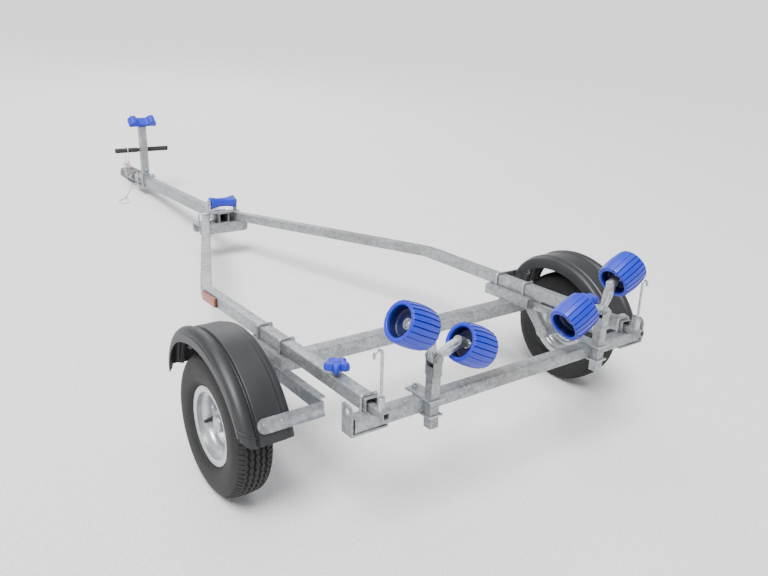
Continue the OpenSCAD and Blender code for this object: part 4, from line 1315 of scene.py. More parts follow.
@dataclass
class SquareClamps:
    """Square-bent clamp bolts over the tubes, with threaded legs, nuts and washers.

    Attributes:
        rod: The bolt's diameter.
        bend: The radius of its two bends.
        pitch: The thread's pitch.
        gap: The gap between a leg and the tube.
        tail: How far the legs reach below the plate under the tube.
        threaded: The length of their threads.
        thread_depth: The thread's depth.
        plate: The thickness of the channel that the front clamps' nuts hold.
        saddle: The thickness of the saddles that the axle clamps' nuts hold.
    """

    rod: float = 8.0
    bend: float = 6.0
    pitch: float = 1.25
    gap: float = 0.5
    tail: float = 11.5
    threaded: float = 20.0
    thread_depth: float = 0.25
    plate: float = 5.0
    saddle: float = 4.0

    def clamp(self, shape: Shape, place: Sequence[float], turn: float, tube: float, drop: float) -> None:
        """Adds one clamp.

        Args:
            shape: The shape that it joins.
            place: The middle of the tube's top under it.
            turn: How far it is turned about Z, in degrees.
            tube: The tube's width.
            drop: How far below the tube's top the nuts sit.
        """
        leg = tube / 2 + self.rod / 2 + self.gap
        low = -drop - self.tail
        local = arc_corner([[0, -leg, low], [0, -leg, self.rod / 2], [0, leg, self.rod / 2], [0, leg, low]],
                           self.bend, 6)
        steps = np.arange(low + 0.5, low + self.threaded, self.pitch / 2)
        place = np.asarray(place, float)
        line = turned(local, 2, turn) + place
        across = turned(np.array([1.0, 0, 0]), 2, turn)
        shape.rod(line, self.rod - 0.6, across, 14)
        for i in (-1, 1):
            foot = turned(np.array([0.0, i * leg, 0]), 2, turn) + place
            tooth = self.thread_depth * (np.arange(len(steps)) % 2)
            thread = np.stack([self.rod / 2 - self.thread_depth + tooth, steps], 1)
            shape.turn([[0, steps[0]], *thread.tolist(), [0, steps[-1]]], foot, (0, 0, 1), 16)
            under = foot - [0, 0, drop]
            shape.turn([[0, 0], [self.rod * 0.98, 0], [self.rod * 1.02, 0.4], [self.rod * 1.02, 1.2],
                        [self.rod * 0.95, 1.6], [0, 1.6]], under, (0, 0, -1), 28)
            shape.hexagon(self.rod * 1.6, 6.2, under, (0, 0, -1), 1.5)

    def build(self) -> None:
        """Makes the front, axle and rear clamps in the places of their CAD nodes."""
        rail_low, rail_high = STANCE.box("side_rail_left")
        bar_low, bar_high = STANCE.box("drawbar")
        rail, bar = rail_high[2] - rail_low[2], bar_high[2] - bar_low[2]
        rail_y = rail_high[1] - rail / 2
        turn = math.degrees(rail_slope("side_rail_left"))
        low, high = STANCE.box("front_channel")
        x = (low[0] + high[0]) / 2
        _, clamp_high = STANCE.box("front_clamps")
        across = (rail / 2 + self.rod + self.gap) * math.cos(math.radians(turn))
        spread = clamp_high[1] - across - self.rod * 0.25
        shape = Shape()
        self.clamp(shape, (x, 0, bar_high[2]), 0, bar, bar + self.plate)
        for side in Side:
            self.clamp(shape, (x, side.value * spread, rail_high[2]), -side.value * turn, rail,
                       rail + self.plate)
        shape.piece("front_clamp_bolts", "front_clamps", Slot.ZINC, ["front_clamps"])
        for side in Side:
            low, high = STANCE.box("axle_clamps_left")
            shape = Shape()
            for x in (low[0] + self.rod, high[0] - self.rod):
                self.clamp(shape, (x, rail_y, rail_high[2]), 0, rail, rail + self.saddle)
            node = f"axle_clamps_{side.word}"
            shape.mirrored(side).piece(node + "_bolts", node, Slot.ZINC, [node])
        low, high = STANCE.box("rear_clamps")
        shape = Shape()
        for side in Side:
            self.clamp(shape, ((low[0] + high[0]) / 2, side.value * rail_y, rail_high[2]), 0, rail,
                       rail_high[2] - low[2] - 12)
        shape.piece("rear_clamp_bolts", "rear_clamps", Slot.ZINC, ["rear_clamps"])


@dataclass
class Welds:
    """Weld beads where the frame's parts are joined for good.

    Attributes:
        size: A bead's width.
        fillet: Half the length of a bead beside a saddle.
        stem_up: How far above the crossmember a stem's tube ends.
        yoke_lap: How far a yoke's plates lap over the tube's end.
        yoke_fillet: The length of a bead on a yoke's plate.
    """

    size: float = 5.0
    fillet: float = 12.0
    stem_up: float = 96.0
    yoke_lap: float = 26.0
    yoke_fillet: float = 24.0

    def build(self) -> None:
        """Makes the beads at the keel bracket, the saddles, the axle beam's ends and the stems' yokes."""
        shape = Shape()
        _, bar_high = STANCE.box("drawbar")
        keel_low, keel_high = STANCE.box("keel_bracket")
        for i in (-1, 1):
            y = i * (bar_high[1] + 0.5)
            shape.bead([[keel_low[0] + 2, y, bar_high[2] - 0.6], [keel_high[0] - 2, y, bar_high[2] - 0.6]], 4)
        beam_low, beam_high = STANCE.box("axle_beam")
        saddle_low, saddle_high = STANCE.box("axle_saddle_left")
        for i in (-1, 1):
            for x in (beam_low[0] - 0.5, beam_high[0] + 0.5):
                for y in (saddle_low[1] + 1, saddle_high[1] - 1):
                    shape.bead([[x, i * (y - self.fillet), beam_high[2] - 1],
                                [x, i * (y + self.fillet), beam_high[2] - 1]], self.size)
            arm_y = i * (beam_high[1] - 0.8)
            h = (beam_high[2] - beam_low[2]) / 2 - 1
            mx, mz = (beam_low[0] + beam_high[0]) / 2, (beam_low[2] + beam_high[2]) / 2
            square = np.array([[-h, -h], [h, -h], [h, h], [-h, h], [-h, -h]]) * 1.03
            shape.bead([[mx + a, arm_y, mz + b] for a, b in square], self.size, (0, 1, 0))
        stem_low, stem_high = STANCE.box("roller_stem_left")
        _, cross_high = STANCE.box("rear_crossmember")
        foot = cross_high[2] + self.stem_up - self.yoke_lap
        for side in Side:
            for y in (stem_low[1] + 2, stem_high[1] - 2):
                for x in (stem_low[0] + 8, stem_high[0] - 8):
                    shape.bead([[x, side.value * y, foot], [x, side.value * y, foot + self.yoke_fillet]], 3)
        shape.piece("weld_beads", "drawbar", Slot.GALVANISED)


@dataclass
class BoltHeads:
    """The bolts, nuts and washers that show on the guards and the coupling.

    Attributes:
        guard_bolt: The mudguards' bolts.
        guard_angles: Their angles on a guard's crown and on its nose, in degrees.
        guard_insets: Their places inboard of the stays' outer end.
        grip: The thickness that they clamp.
        coupling_bolt: The coupling's bolts.
        coupling_places: Their places forward of the coupling body's rear end.
        coupling_up: Their height above the drawbar's underside.
    """

    guard_bolt: float = 7.0
    guard_angles: tuple[float, float] = (153.0, 20.0)
    guard_insets: tuple[float, float] = (20.0, 72.0)
    grip: float = 9.2
    coupling_bolt: float = 10.0
    coupling_places: tuple[float, float] = (25.0, 90.0)
    coupling_up: float = 26.0

    def build(self) -> None:
        """Makes the bolts of both mudguards and of the coupling."""
        _, stays_high = STANCE.box("guard_stays_left")
        guard = Mudguard()
        bends = ((guard.main, guard.radius), (guard.front, guard.nose))
        for side in Side:
            shape = Shape()
            for (centre, radius), angle in zip(bends, self.guard_angles):
                out = np.array([math.cos(math.radians(angle)), 0, math.sin(math.radians(angle))])
                for inset in self.guard_insets:
                    place = np.array([centre[0], stays_high[1] - inset, centre[1]]) + (radius + 5) * out
                    shape.bolt(self.guard_bolt, place, out)
                    shape.bolt(self.guard_bolt, place - self.grip * out, -out, nut=True)
            shape.mirrored(side).piece(f"guard_bolts_{side.word}", f"mudguard_{side.word}", Slot.ZINC)
        low, high = STANCE.box("coupling_body")
        z = STANCE.box("drawbar")[0][2] + self.coupling_up
        shape = Shape()
        for i in (-1, 1):
            for x in self.coupling_places:
                shape.bolt(self.coupling_bolt, (low[0] + x, i * (high[1] - 0.1), z), (0, i, 0), i > 0)
        shape.piece("coupling_bolts", "coupling_body", Slot.ZINC)


# ---- wheels ----


@dataclass
class Wheel:
    """A road wheel: a tyre with zigzag grooves and shoulder lugs, a dished silver rim and its hub.

    Attributes:
        side: The side that it runs on.
        around: The tyre's points around.
        groove: The depth of the tread grooves.
        zigzags: The zigzags around the tyre.
        lugs: The shoulder lugs around the tyre.
        grooves: The grooves' places across the tread.
        wander: How far a groove wanders to either side.
        shoulder: Where the ribs end and the lugs begin, from the tread's middle.
        seat: The radius of the rim's bead seats.
        rim_points: The rim's points around.
        studs: The hub's studs.
        stud_reach: Their distance from the axis.
        valve_reach: The valve's distance from the axis.
        valve_angle: Its angle from straight ahead, positive upwards, in degrees.
        middle: The tyre's middle in level millimetres.
        radius: Its outer radius.
        half: Half its width.
    """

    side: Side
    around: int = 560
    groove: float = 6.0
    zigzags: int = 56
    lugs: int = 84
    grooves: tuple[float, ...] = (-25.0, -8.5, 8.5, 25.0)
    wander: float = 2.6
    shoulder: float = 33.0
    seat: float = 101.5
    rim_points: int = 120
    studs: int = 4
    stud_reach: float = 50.0
    valve_reach: float = 83.0
    valve_angle: float = -17.5
    middle: np.ndarray = field(init=False)
    radius: float = field(init=False)
    half: float = field(init=False)

    def __post_init__(self) -> None:
        """Measures the CAD tyre."""
        low, high = STANCE.box(f"tyre_{self.side.word}")
        world_low, world_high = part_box(f"tyre_{self.side.word}")
        self.middle = (low + high) / 2
        self.radius = (world_high[2] - world_low[2]) / 2 / MM
        self.half = (high[1] - low[1]) / 2

    @property
    def outboard(self) -> np.ndarray:
        """The direction from the wheel's middle to its outer face."""
        return np.array([0.0, self.side.value, 0.0])

    def tyre(self) -> bpy.types.Object:
        """Makes the tyre: a smooth section turned about the axis, cut by the tread.

        Four grooves wander to either side as triangle waves, thin sipes cross the ribs, and square
        notches cut the shoulders. Each lowers the radius by its depth times a smooth mask. Two rings and
        a ripple stand out of the sidewall as humps, and the section's width is held to the CAD tyre's.

        Returns:
            The piece.
        """
        r, h = self.radius, self.half
        half_line = smooth_line([[self.seat, 41], [110, 41.5], [119, 42.5], [126, 50], [140, 56.5],
                                 [r - 47, h], [r - 34, h - 1], [r - 20, h - 5.5], [r - 10, h - 12],
                                 [r - 4.5, h - 19], [r - 2, h - 27], [r - 0.5, h - 42], [r, 0]], 5)
        wall = half_line[:-6]
        crown_y = np.linspace(wall[-1, 1], 0, 30)[1:]
        crown_r = np.interp(crown_y, [0, 17, wall[-1, 1]], [r, r - 0.5, wall[-1, 0]])
        half = np.vstack([wall, np.stack([crown_r, crown_y], 1)])
        section = np.vstack([half * [1, -1], half[::-1][1:]])
        at, y = section[:, :1], section[:, 1:]
        turn = (np.arange(self.around) / self.around)[None]
        wave = 1 - 4 * np.abs((turn * self.zigzags) % 1 - 0.5)
        depth = np.zeros((len(section), self.around))
        on_tread = np.clip((at - (r - 14)) / 3, 0, 1)
        for k, groove_y in enumerate(self.grooves):
            off = np.abs(y - groove_y - self.wander * wave * (-1) ** k)
            depth = np.maximum(depth, np.clip(2.4 - off * 0.85, 0, 1))
        notch = np.abs((turn * self.lugs) % 1 - 0.5) * 2
        shoulder = np.clip((np.abs(y) - self.shoulder) / 3, 0, 1) * on_tread
        depth = np.maximum(depth, np.clip((0.36 - notch) * 9, 0, 1) * shoulder * 0.75)
        sipe = np.abs((turn * self.zigzags * 2 + 0.25) % 1 - 0.5) * 2
        depth = np.maximum(depth, np.clip((0.13 - sipe) * 14, 0, 1) * (np.abs(y) < self.shoulder) * 0.35)
        shift = -self.groove * depth * on_tread
        rings = 0.9 * hump(at, 131, 1.6) + 0.7 * hump(at, r - 30, 1.4)
        ripple = 0.35 * hump(at, r - 24, 5) * np.cos(turn * TAU * self.lugs)
        sideways = np.sign(y) * (rings + ripple)
        grid = lathed(section, self.around, self.middle, self.outboard, shift)
        grid = grid + sideways[..., None] * self.outboard
        y_out = np.clip((grid - self.middle) @ self.outboard, -self.half, self.half)
        grid = grid + (y_out - (grid - self.middle) @ self.outboard)[..., None] * self.outboard
        node = f"tyre_{self.side.word}"
        return Shape().grid(grid, loop=True).piece(node + "_tread", node, Slot.TYRE, [node], 45)

    def rim(self) -> bpy.types.Object:
        """Makes the rim: rolled flanges, bead seats, a drop centre and a dished disc, turned in one.

        Returns:
            The piece.
        """
        seat, flange, w, t = self.seat, 117.0, 41.0, 3.6
        barrel = smooth_line([[seat - t, -w - 3], [seat + 6, -w - 4], [flange - 2, -w - 4], [flange, -w - 2],
                              [flange - 2, -w - 0.2], [seat + 3, -w + 0.6], [seat, -w + 3], [seat, -w + 14],
                              [seat - 13, -w + 22], [seat - 13, w - 22], [seat, w - 14], [seat, w - 3],
                              [seat + 3, w - 0.6], [flange - 2, w + 0.2], [flange, w + 2],
                              [flange - 2, w + 4], [seat + 6, w + 4], [seat - t, w + 2], [seat - t, w - 14],
                              [seat - 14 - t, w - 23], [seat - 14 - t, -w + 23], [seat - t, -w + 14],
                              [seat - t, -w - 3]], 3)
        shape = Shape().grid(lathed(barrel[:-1], self.rim_points, self.middle, self.outboard), loop=True)
        dish = smooth_line([[27, 2.5], [30, 6.9], [40, 7], [60, 7], [68, 7], [73, 4], [77, 0.6],
                            [seat - 14, 0.4], [seat - 13, -3.6], [74, -3.8], [68, 1.6], [50, 2.2],
                            [30, 2.2], [27, 2.5]], 3)
        shape.grid(lathed(dish[:-1], self.rim_points, self.middle, self.outboard), loop=True)
        node = f"rim_{self.side.word}"
        return shape.piece(node + "_disc", node, Slot.RIM, [node], 50)

    def hub(self) -> bpy.types.Object:
        """Makes the hub with its flange, dust cap, wheel nuts and studs.

        Returns:
            The piece.
        """
        shape = Shape()
        shape.turn([[15.1, -48], [26, -48], [29, -46], [30, -43], [30, -8], [44, -6.5], [64, -6], [65, -5],
                    [65, 1], [64, 1.9], [15.1, 1.9]], self.middle, self.outboard, 72, loop=True)
        cap = smooth_line([[0, 28], [12, 27.8], [20, 26.6], [23.5, 24.5], [24.6, 21], [25, 14], [25.4, 10.5],
                           [27.2, 9.6], [27.4, 7.5], [26, 2.2], [0, 2.2]], 3)
        shape.turn(cap, self.middle, self.outboard, 60)
        for k in range(self.studs):
            angle = math.radians((k + 0.5) * 360 / self.studs)
            start = self.middle + self.stud_reach * np.array([math.cos(angle), 0, math.sin(angle)])
            shape.turn([[0, 2], [11.5, 6.5], [11.6, 8.2], [10.6, 9.4], [0, 9.4]], start, self.outboard, 28)
            shape.hexagon(18.6, 9, start, self.outboard, 8.6)
            shape.turn([[0, 16], [5.4, 16], [5.6, 17.4], [5.2, 18], [5.6, 18.8], [5.2, 19.6], [4.2, 21.4],
                        [0, 21.8]], start, self.outboard, 18)
        node = f"hub_{self.side.word}"
        return shape.piece(node + "_cap", node, Slot.ZINC, [node], 40)

    def valve(self) -> bpy.types.Object:
        """Makes the rubber valve stem with its ribbed cap, leaning out of the rim's well.

        Returns:
            The piece.
        """
        angle = math.radians(self.valve_angle)
        out = np.array([math.cos(angle), 0, math.sin(angle)])
        start = self.middle + self.valve_reach * out + 5 * self.outboard
        lean = unit(self.outboard - 0.35 * out)
        shape = Shape().turn([[0, -4], [8, -3], [8.4, 0], [6.6, 3], [5.6, 10], [4.8, 17], [0, 17]],
                             start, lean, 20)
        ridge = 5.2 + 0.3 * np.cos(np.arange(48) * TAU / 48 * 12)
        rows = np.array([[0, 16.5], [0, 17], [0, 26], [0, 27]])
        radii = np.array([0.85, 1, 1, 0.8])[:, None] * ridge
        shape.grid(lathed(rows, 48, start, lean, radii))
        node = f"rim_{self.side.word}"
        return shape.piece(f"valve_{self.side.word}", node, Slot.GRIP)

    def build(self) -> None:
        """Makes the wheel's pieces."""
        self.tyre()
        self.rim()
        self.hub()
        self.valve()


# ---- mudguards ----


@dataclass
class Mudguard:
    """A moulded guard: one section carried round a tight front bend and a long crown.

    Attributes:
        radius: The crown's radius.
        nose: The front bend's radius.
        main: The crown arc's centre, as level X and Z.
        join: The angle at which the two bends meet, in degrees.
        thickness: The moulding's thickness.
        first: The front edge's angle on the front bend.
        last: The rear edge's angle on the crown.
        corner: The radius of the rear outer corner.
        drop: How much deeper the outer side is at the crown.
        bead_turn: The angle at which the bead turns inboard, in degrees.
        rows: The sheet's rows from front to rear.
        lap: How much farther forward the outer roll reaches, in degrees.
        roll: The outer roll's width there.
        bead_size: The bead's diameter.
        bead_rise: How far its middle stands over the face.
        bead_reach: How far inboard of the outer edge it ends.
        bead_sweep: How far rearward it runs while it turns inboard, in degrees.
    """

    radius: float = 309.0
    nose: float = 169.0
    main: tuple[float, float] = (23.0, -36.0)
    join: float = 70.0
    thickness: float = 3.6
    first: float = 2.0
    last: float = 162.0
    corner: float = 38.0
    drop: float = 18.0
    bead_turn: float = 150.0
    rows: int = 131
    lap: float = 5.0
    roll: float = 17.0
    bead_size: float = 4.6
    bead_rise: float = 0.8
    bead_reach: float = 47.0
    bead_sweep: float = 7.5

    @property
    def front(self) -> tuple[float, float]:
        """The front bend's centre, which makes the two bends tangent."""
        a = math.radians(self.join)
        gap = self.radius - self.nose
        return self.main[0] + gap * math.cos(a), self.main[1] + gap * math.sin(a)

    def sag(self, angle: np.ndarray, height: np.ndarray, across: np.ndarray) -> np.ndarray:
        """How far the outer lip hangs lower: the drop times the angle's squared sine, faded in by depth.

        Args:
            angle: The angles on the guard in degrees.
            height: The section's heights over the crown.
            across: The section's places outboard of the guard's middle.

        Returns:
            The lowering.
        """
        lip = np.clip((-15 - height) / 5, 0, 1) * (across > 0)
        return self.drop * np.sin(np.radians(angle)) ** 2 * lip

    def carried(self, angle: np.ndarray, height: np.ndarray, y: np.ndarray) -> np.ndarray:
        """Points round the two bends: a bend's centre plus its radius and the height, at the angle.

        Args:
            angle: The angles in degrees.
            height: The heights over the crown.
            y: The places across the trailer.

        Returns:
            Points (..., 3), with cos a times the reach along X and sin a times it along Z.
        """
        a = np.radians(angle)
        on_nose = angle < self.join
        r = np.where(on_nose, self.nose, self.radius) + height
        x = np.where(on_nose, self.front[0], self.main[0]) + r * np.cos(a)
        z = np.where(on_nose, self.front[1], self.main[1]) + r * np.sin(a)
        return np.stack([x, np.broadcast_to(y, x.shape), z], -1)

    def section(self, half: float) -> np.ndarray:
        """The outer face across the guard, as height over the crown and distance outboard.

        Args:
            half: Half the guard's width.

        Returns:
            Points from the outer bead over the roll, the groove, the flat band and its two steps to the
            inner wall.
        """
        roll = [[-20, half - 0.2], [-17, half - 0.1], [-13.6, half - 0.4], [-12.4, half - 2.6],
                [-8.5, half - 3.2], [-3, half - 6.5], [1.5, half - 12], [4.2, half - 19], [5, half - 26],
                [4, half - 33], [1, half - 38.5], [-3.6, half - 42.4], [-6.6, half - 44.6],
                [-6.9, half - 46.4], [-4.5, half - 48.6], [-1, half - 50.4], [0, half - 53]]
        band = [[0, half - 62], [0, 0], [0, -half + 38], [0, -half + 33.5], [-1, -half + 31.6],
                [-3.4, -half + 29], [-4, -half + 26.5], [-4, -half + 19], [-4.6, -half + 15.5],
                [-7, -half + 9], [-10, -half + 5], [-16, -half + 2.2], [-26, -half + 1.2], [-46, -half + 0.4]]
        return smooth_line(roll + band, 3)

    def sheet(self, side: Side) -> bpy.types.Object:
        """Makes the guard as a closed sheet.

        The outer face is the section at each angle. The inner face is the same section pushed in along
        its own normal by the thickness, and the four edges join the two.

        Args:
            side: The side.

        Returns:
            The piece.
        """
        low, high = STANCE.box("mudguard_left")
        half = (high[1] - low[1]) / 2
        middle = (high[1] + low[1]) / 2
        face = self.section(half)
        slope = np.gradient(face, axis=0)
        normal = unit(np.stack([slope[:, 1], -slope[:, 0]], 1))
        normal *= np.sign(-normal[len(face) // 2, 0])
        inside = face + self.thickness * normal
        inside[:, 1] = np.clip(inside[:, 1], -half + self.thickness, half - self.thickness * 0.75)
        share = np.linspace(0, 1, self.rows)[:, None]
        y = face[None, :, 1]
        wide = np.maximum(y - half + self.corner, 0)
        cut = np.degrees((self.corner - np.sqrt(np.maximum(self.corner**2 - wide**2, 0))) / self.radius)
        start = self.first - self.lap * np.clip((y - half + self.roll) / 2, 0, 1)
        angle = start + (self.last - cut - start) * share
        deeper = self.sag(angle, face[None, :, 0], face[None, :, 1])
        outer, inner = (self.carried(angle, line[None, :, 0] - deeper, middle + line[None, :, 1])
                        for line in (face, inside))
        ring = np.concatenate([outer, inner[:, ::-1]], 1)
        columns = ring.shape[1]
        shape = Shape().grid(ring)
        # The grid's caps are many-sided and can't follow the bent section, so quads close the ends instead.
        shape.faces = [f for f in shape.faces if len(f) == 4]
        for start_of_row in (0, (self.rows - 1) * columns):
            shape.faces += [[start_of_row + k, start_of_row + k + 1, start_of_row + columns - 2 - k,
                             start_of_row + columns - 1 - k] for k in range(len(face) - 1)]
        shape.mirrored(side)
        node = f"mudguard_{side.word}"
        piece = shape.piece(node + "_moulding", node, Slot.GUARD, [node], 50)
        with mended(piece.data) as made:
            bmesh.ops.recalc_face_normals(made, faces=made.faces)
        return piece

    def bead(self, side: Side) -> bpy.types.Object:
        """Makes the raised bead: along the outer edge, then inboard over the roll before the rear edge.

        Args:
            side: The side.

        Returns:
            The piece.
        """
        low, high = STANCE.box("mudguard_left")
        half, middle = (high[1] - low[1]) / 2, (high[1] + low[1]) / 2
        face = self.section(half)
        roll = face[face[:, 1] > half - self.bead_reach]
        turn = np.linspace(0, 1, 25)
        length = np.concatenate([[0], np.cumsum(np.linalg.norm(np.diff(roll, axis=0), axis=1))])
        over = np.stack([np.interp(turn * length[-1], length, roll[:, k]) for k in (0, 1)], 1)
        sweep = np.linspace(self.first - 3, self.bead_turn, 70)
        angle = np.concatenate([sweep, self.bead_turn + self.bead_sweep * np.sin(turn[1:] * math.pi / 2)])
        line = np.vstack([np.repeat(over[:1], len(sweep), 0), over[1:]])
        line[:, 1] = np.minimum(line[:, 1], half - 2.4)
        height = line[:, 0] + self.bead_rise - self.sag(angle, line[:, 0], line[:, 1])
        path = self.carried(angle, height, middle + line[:, 1])
        node = f"mudguard_{side.word}"
        shape = Shape().rod(path, self.bead_size, (0, 1, 0), 12)
        return shape.mirrored(side).piece(node + "_bead", node, Slot.GUARD)

    def build(self) -> None:
        """Makes both guards with their beads."""
        for side in Side:
            self.sheet(side)
            self.bead(side)


# ---- rollers ----


@dataclass
class WobbleRoller:
    """A hollow blue roller with lapped ribs that run out at its inboard end, and a deep mouth at each end.

    Attributes:
        word: Which of the four it is, as outer_left.
        ribs: The ribs around it.
        groove: The depth of the groove between ribs.
        across: The points across each rib and groove.
        step: How far each rib's edge stands over the next.
        recess: The depth of the mouths.
        half: Half the roller's length.
        mouth: The radius of the mouths.
        run_out: The radius past which ribs show at the inboard end, and how fast they grow.
        fade: The same at the outboard end.
        groove_place: The groove's place between two ribs, as a share of a rib.
        groove_width: Its width, as a share of a rib.
    """

    word: str
    ribs: int = 22
    groove: float = 3.0
    across: int = 14
    step: float = 1.4
    recess: float = 33.8
    half: float = 49.0
    mouth: float = 41.0
    run_out: tuple[float, float] = (46.5, 1.5)
    fade: tuple[float, float] = (51.0, 3.0)
    groove_place: float = 0.93
    groove_width: float = 0.07

    @property
    def node(self) -> str:
        """The CAD node that it stands for."""
        return f"roller_{self.word}"

    def placed(self) -> tuple[np.ndarray, np.ndarray]:
        """The roller's middle and its axis, from its CAD box and its joint."""
        low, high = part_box(self.node)
        middle = STANCE.level((np.array(low) + np.array(high)) / 2)
        place, side = self.word.split("_")
        return middle, joint_axis(f"{place}_roller_{side}_spin")

    def barrel(self) -> bpy.types.Object:
        """Makes the barrel.

        Around it, a rib's radius falls evenly from its high edge to a narrow groove, and each rib is a
        chord rather than an arc. At the outboard end the ribs fade into a smooth band, and at the
        inboard end they run out over the edge. A point attribute paints shade into the mouths and the grooves.

        Returns:
            The piece.
        """
        middle, axis = self.placed()
        h, mouth = self.half, self.mouth
        half = np.array([[9.2, h - self.recess], [14, h - self.recess], [16, h - self.recess + 1],
                         [30, h - self.recess + 1.6], [37, h - self.recess + 3], [39.6, h - self.recess + 7],
                         [mouth - 0.6, h - 12], [mouth, h - 4], [mouth + 1, h - 1.4], [mouth + 3.4, h - 0.3],
                         [47, h], [50, h - 0.2], [52.6, h - 1.4], [53.8, h - 3.4], [54.4, h - 6],
                         [55.6, h - 16], [56.8, h - 28], [57.6, h - 39], [57.9, 0]])
        half = smooth_line(half, 2)
        section = np.vstack([half, half[::-1][1:] * [1, -1]])
        count = self.ribs * self.across
        phase = (np.arange(count) / self.across) % 1
        chord = np.cos(math.pi / self.ribs) / np.cos((phase - 0.5) * TAU / self.ribs)
        cut = np.clip(1.3 - np.abs(phase - self.groove_place) / self.groove_width, 0, 1)
        lap = -self.step * phase - self.groove * cut
        inboard = section[:, 1:] * axis[1] * middle[1] < 0
        r = section[:, :1]
        inner, outer = (np.clip((r - start) / length, 0, 1) for start, length in (self.run_out, self.fade))
        ribbed = np.where(inboard, inner, outer)
        shift = ribbed * (r * (chord - 1) + lap)
        shape = Shape().grid(lathed(section, count, middle, axis, shift), loop=True)
        piece = shape.piece(self.node + "_ribbed", self.node, Slot.ROLLER, [self.node], 38)
        # Painted shade: the mouths darken with depth and the grooves between ribs darken, through the shade
        # attribute.
        depth = h - np.abs(section[:, 1:])
        inside = np.clip((depth - 2) / 9, 0, 0.96) * (r < mouth + 0.5)
        groove = 0.9 * cut * ribbed
        shade = piece.data.attributes.new("shade", "FLOAT", "POINT")
        shade.data.foreach_set("value", np.maximum(inside, groove).ravel().astype(np.float32))
        return piece


@dataclass
class KeelRoller:
    """The concave keel roller, with a ring turned into each end face and a fine groove near each end.

    Attributes:
        node: The CAD node that it stands for.
        waist: Its narrowest radius, as a share of its widest.
    """

    node: str = "keel_roller"
    waist: float = 0.7

    def build(self) -> bpy.types.Object:
        """Makes the roller: its radius is the waist plus a share of the square of the place along it.

        Returns:
            The piece.
        """
        low, high = STANCE.box(self.node)
        middle = (low + high) / 2
        h, big = (high[1] - low[1]) / 2, (high[0] - low[0]) / 2
        waist = big * self.waist
        z = np.linspace(-h + 2.5, h - 2.5, 61)
        r = waist + (big - waist) * (z / h) ** 2 - 0.5 * hump(np.abs(z) - h + 10, 0, 0.8)
        ends = [[7.1, 0.0], [13, 0.0], [14, 0.8], [18, 0.8], [19, 0.0], [big - 2.4, 0.0], [big - 0.7, 0.9]]
        left = np.array([[a, -h + b] for a, b in ends])
        right = np.array([[a, h - b] for a, b in ends])[::-1]
        section = np.vstack([left, np.stack([r, z], 1), right])
        shape = Shape().grid(lathed(section, 96, middle, (0, 1, 0)), loop=True)
        return shape.piece("keel_roller_turned", self.node, Slot.ROLLER, [self.node], 40)


@dataclass
class SwingArm:
    """A swinging arm: two ribbed limbs from one barrel, with a spindle in each roller.

    Attributes:
        side: The side.
        limb_width: The limb's width fore and aft.
        limb_depth: The limb's depth.
        spindle: The spindle's diameter.
        pivot_inset: How far below the stem's top the pivot is.
        washers: The place on the spindle, radius and thickness of each washer.
        pin_place: The split pin's place on the spindle.
    """

    side: Side
    limb_width: float = 27.0
    limb_depth: float = 29.0
    spindle: float = 18.0
    pivot_inset: float = 14.0
    washers: tuple[tuple[float, float, float], ...] = ((30, 13, 3), (65, 15, 3))
    pin_place: float = 69.2

    def build(self) -> bpy.types.Object:
        """Makes the arm.

        A limb's section is a rounded bar with a rounded ridge down each broad face. It is thinnest at
        the barrel, full from its middle on, and a little thinner again at the spindle's sleeve.

        Returns:
            The piece.
        """
        stem_low, stem_high = STANCE.box(f"roller_stem_{self.side.word}")
        tilt_axis = np.array([1.0, 0, 0])
        rollers = [WobbleRoller(f"{p}_{self.side.word}").placed() for p in ("outer", "inner")]
        pivot = np.array([(stem_low[0] + stem_high[0]) / 2, (stem_low[1] + stem_high[1]) / 2,
                          stem_high[2] - self.pivot_inset])
        shape = Shape()
        shape.turn([[7.1, -11], [14.5, -11], [16, -9.8], [16, 9.8], [14.5, 11], [7.1, 11]], pivot, tilt_axis,
                   56, loop=True)
        spread = unit(rollers[0][0] - rollers[1][0])
        for (middle, _), way in zip(rollers, (1, -1)):
            out = way * spread
            inner_end = middle - out * WobbleRoller.half
            joint = inner_end + out * 1.0
            run = joint - pivot
            share = np.array([0.06, 0.16, 0.3, 0.5, 0.7, 0.86, 0.97])
            size = np.array([0.70, 0.72, 0.86, 1.0, 1.0, 0.98, 0.92])
            bar = rounded_rectangle(self.limb_width - 5, self.limb_depth - 2, 4.5, 5)
            rib = rounded_rectangle(self.limb_width, 8, 3.2, 5)
            line = pivot + share[:, None] * run
            for profile in (bar, rib):
                shape.grid(along(profile[None] * size[:, None, None], line, (1, 0, 0)))
            sleeve = smooth_line([[0, -12.2], [12.4, -12.2], [14.4, -10.8], [15, -8], [15, 10], [14.4, 12.6],
                                  [12.4, 13.8], [0, 13.8]], 2)
            shape.turn(sleeve, inner_end, out, 40)
            r = self.spindle / 2
            shape.turn([[0, 0], [r, 0], [r, 67.6], [r - 1, 69], [r - 2.6, 70], [0, 70.4]], inner_end, out, 32)
            for low, radius, thick in self.washers:
                shape.turn([[r, low], [radius - 0.5, low], [radius, low + 0.5], [radius, low + thick - 0.5],
                            [radius - 0.5, low + thick], [r, low + thick]], inner_end, out, 40, loop=True)
            pin = inner_end + out * self.pin_place
            across = unit(np.cross(out, tilt_axis))
            legs = np.array([pin + across * s for s in (-12.5, -6, 6, 12.5)])
            shape.rod(legs, 3.0, out, 8)
        node = f"swing_arm_{self.side.word}"
        return shape.piece(node + "_forged", node, Slot.ZINC, [node], 40)


# ---- small parts ----


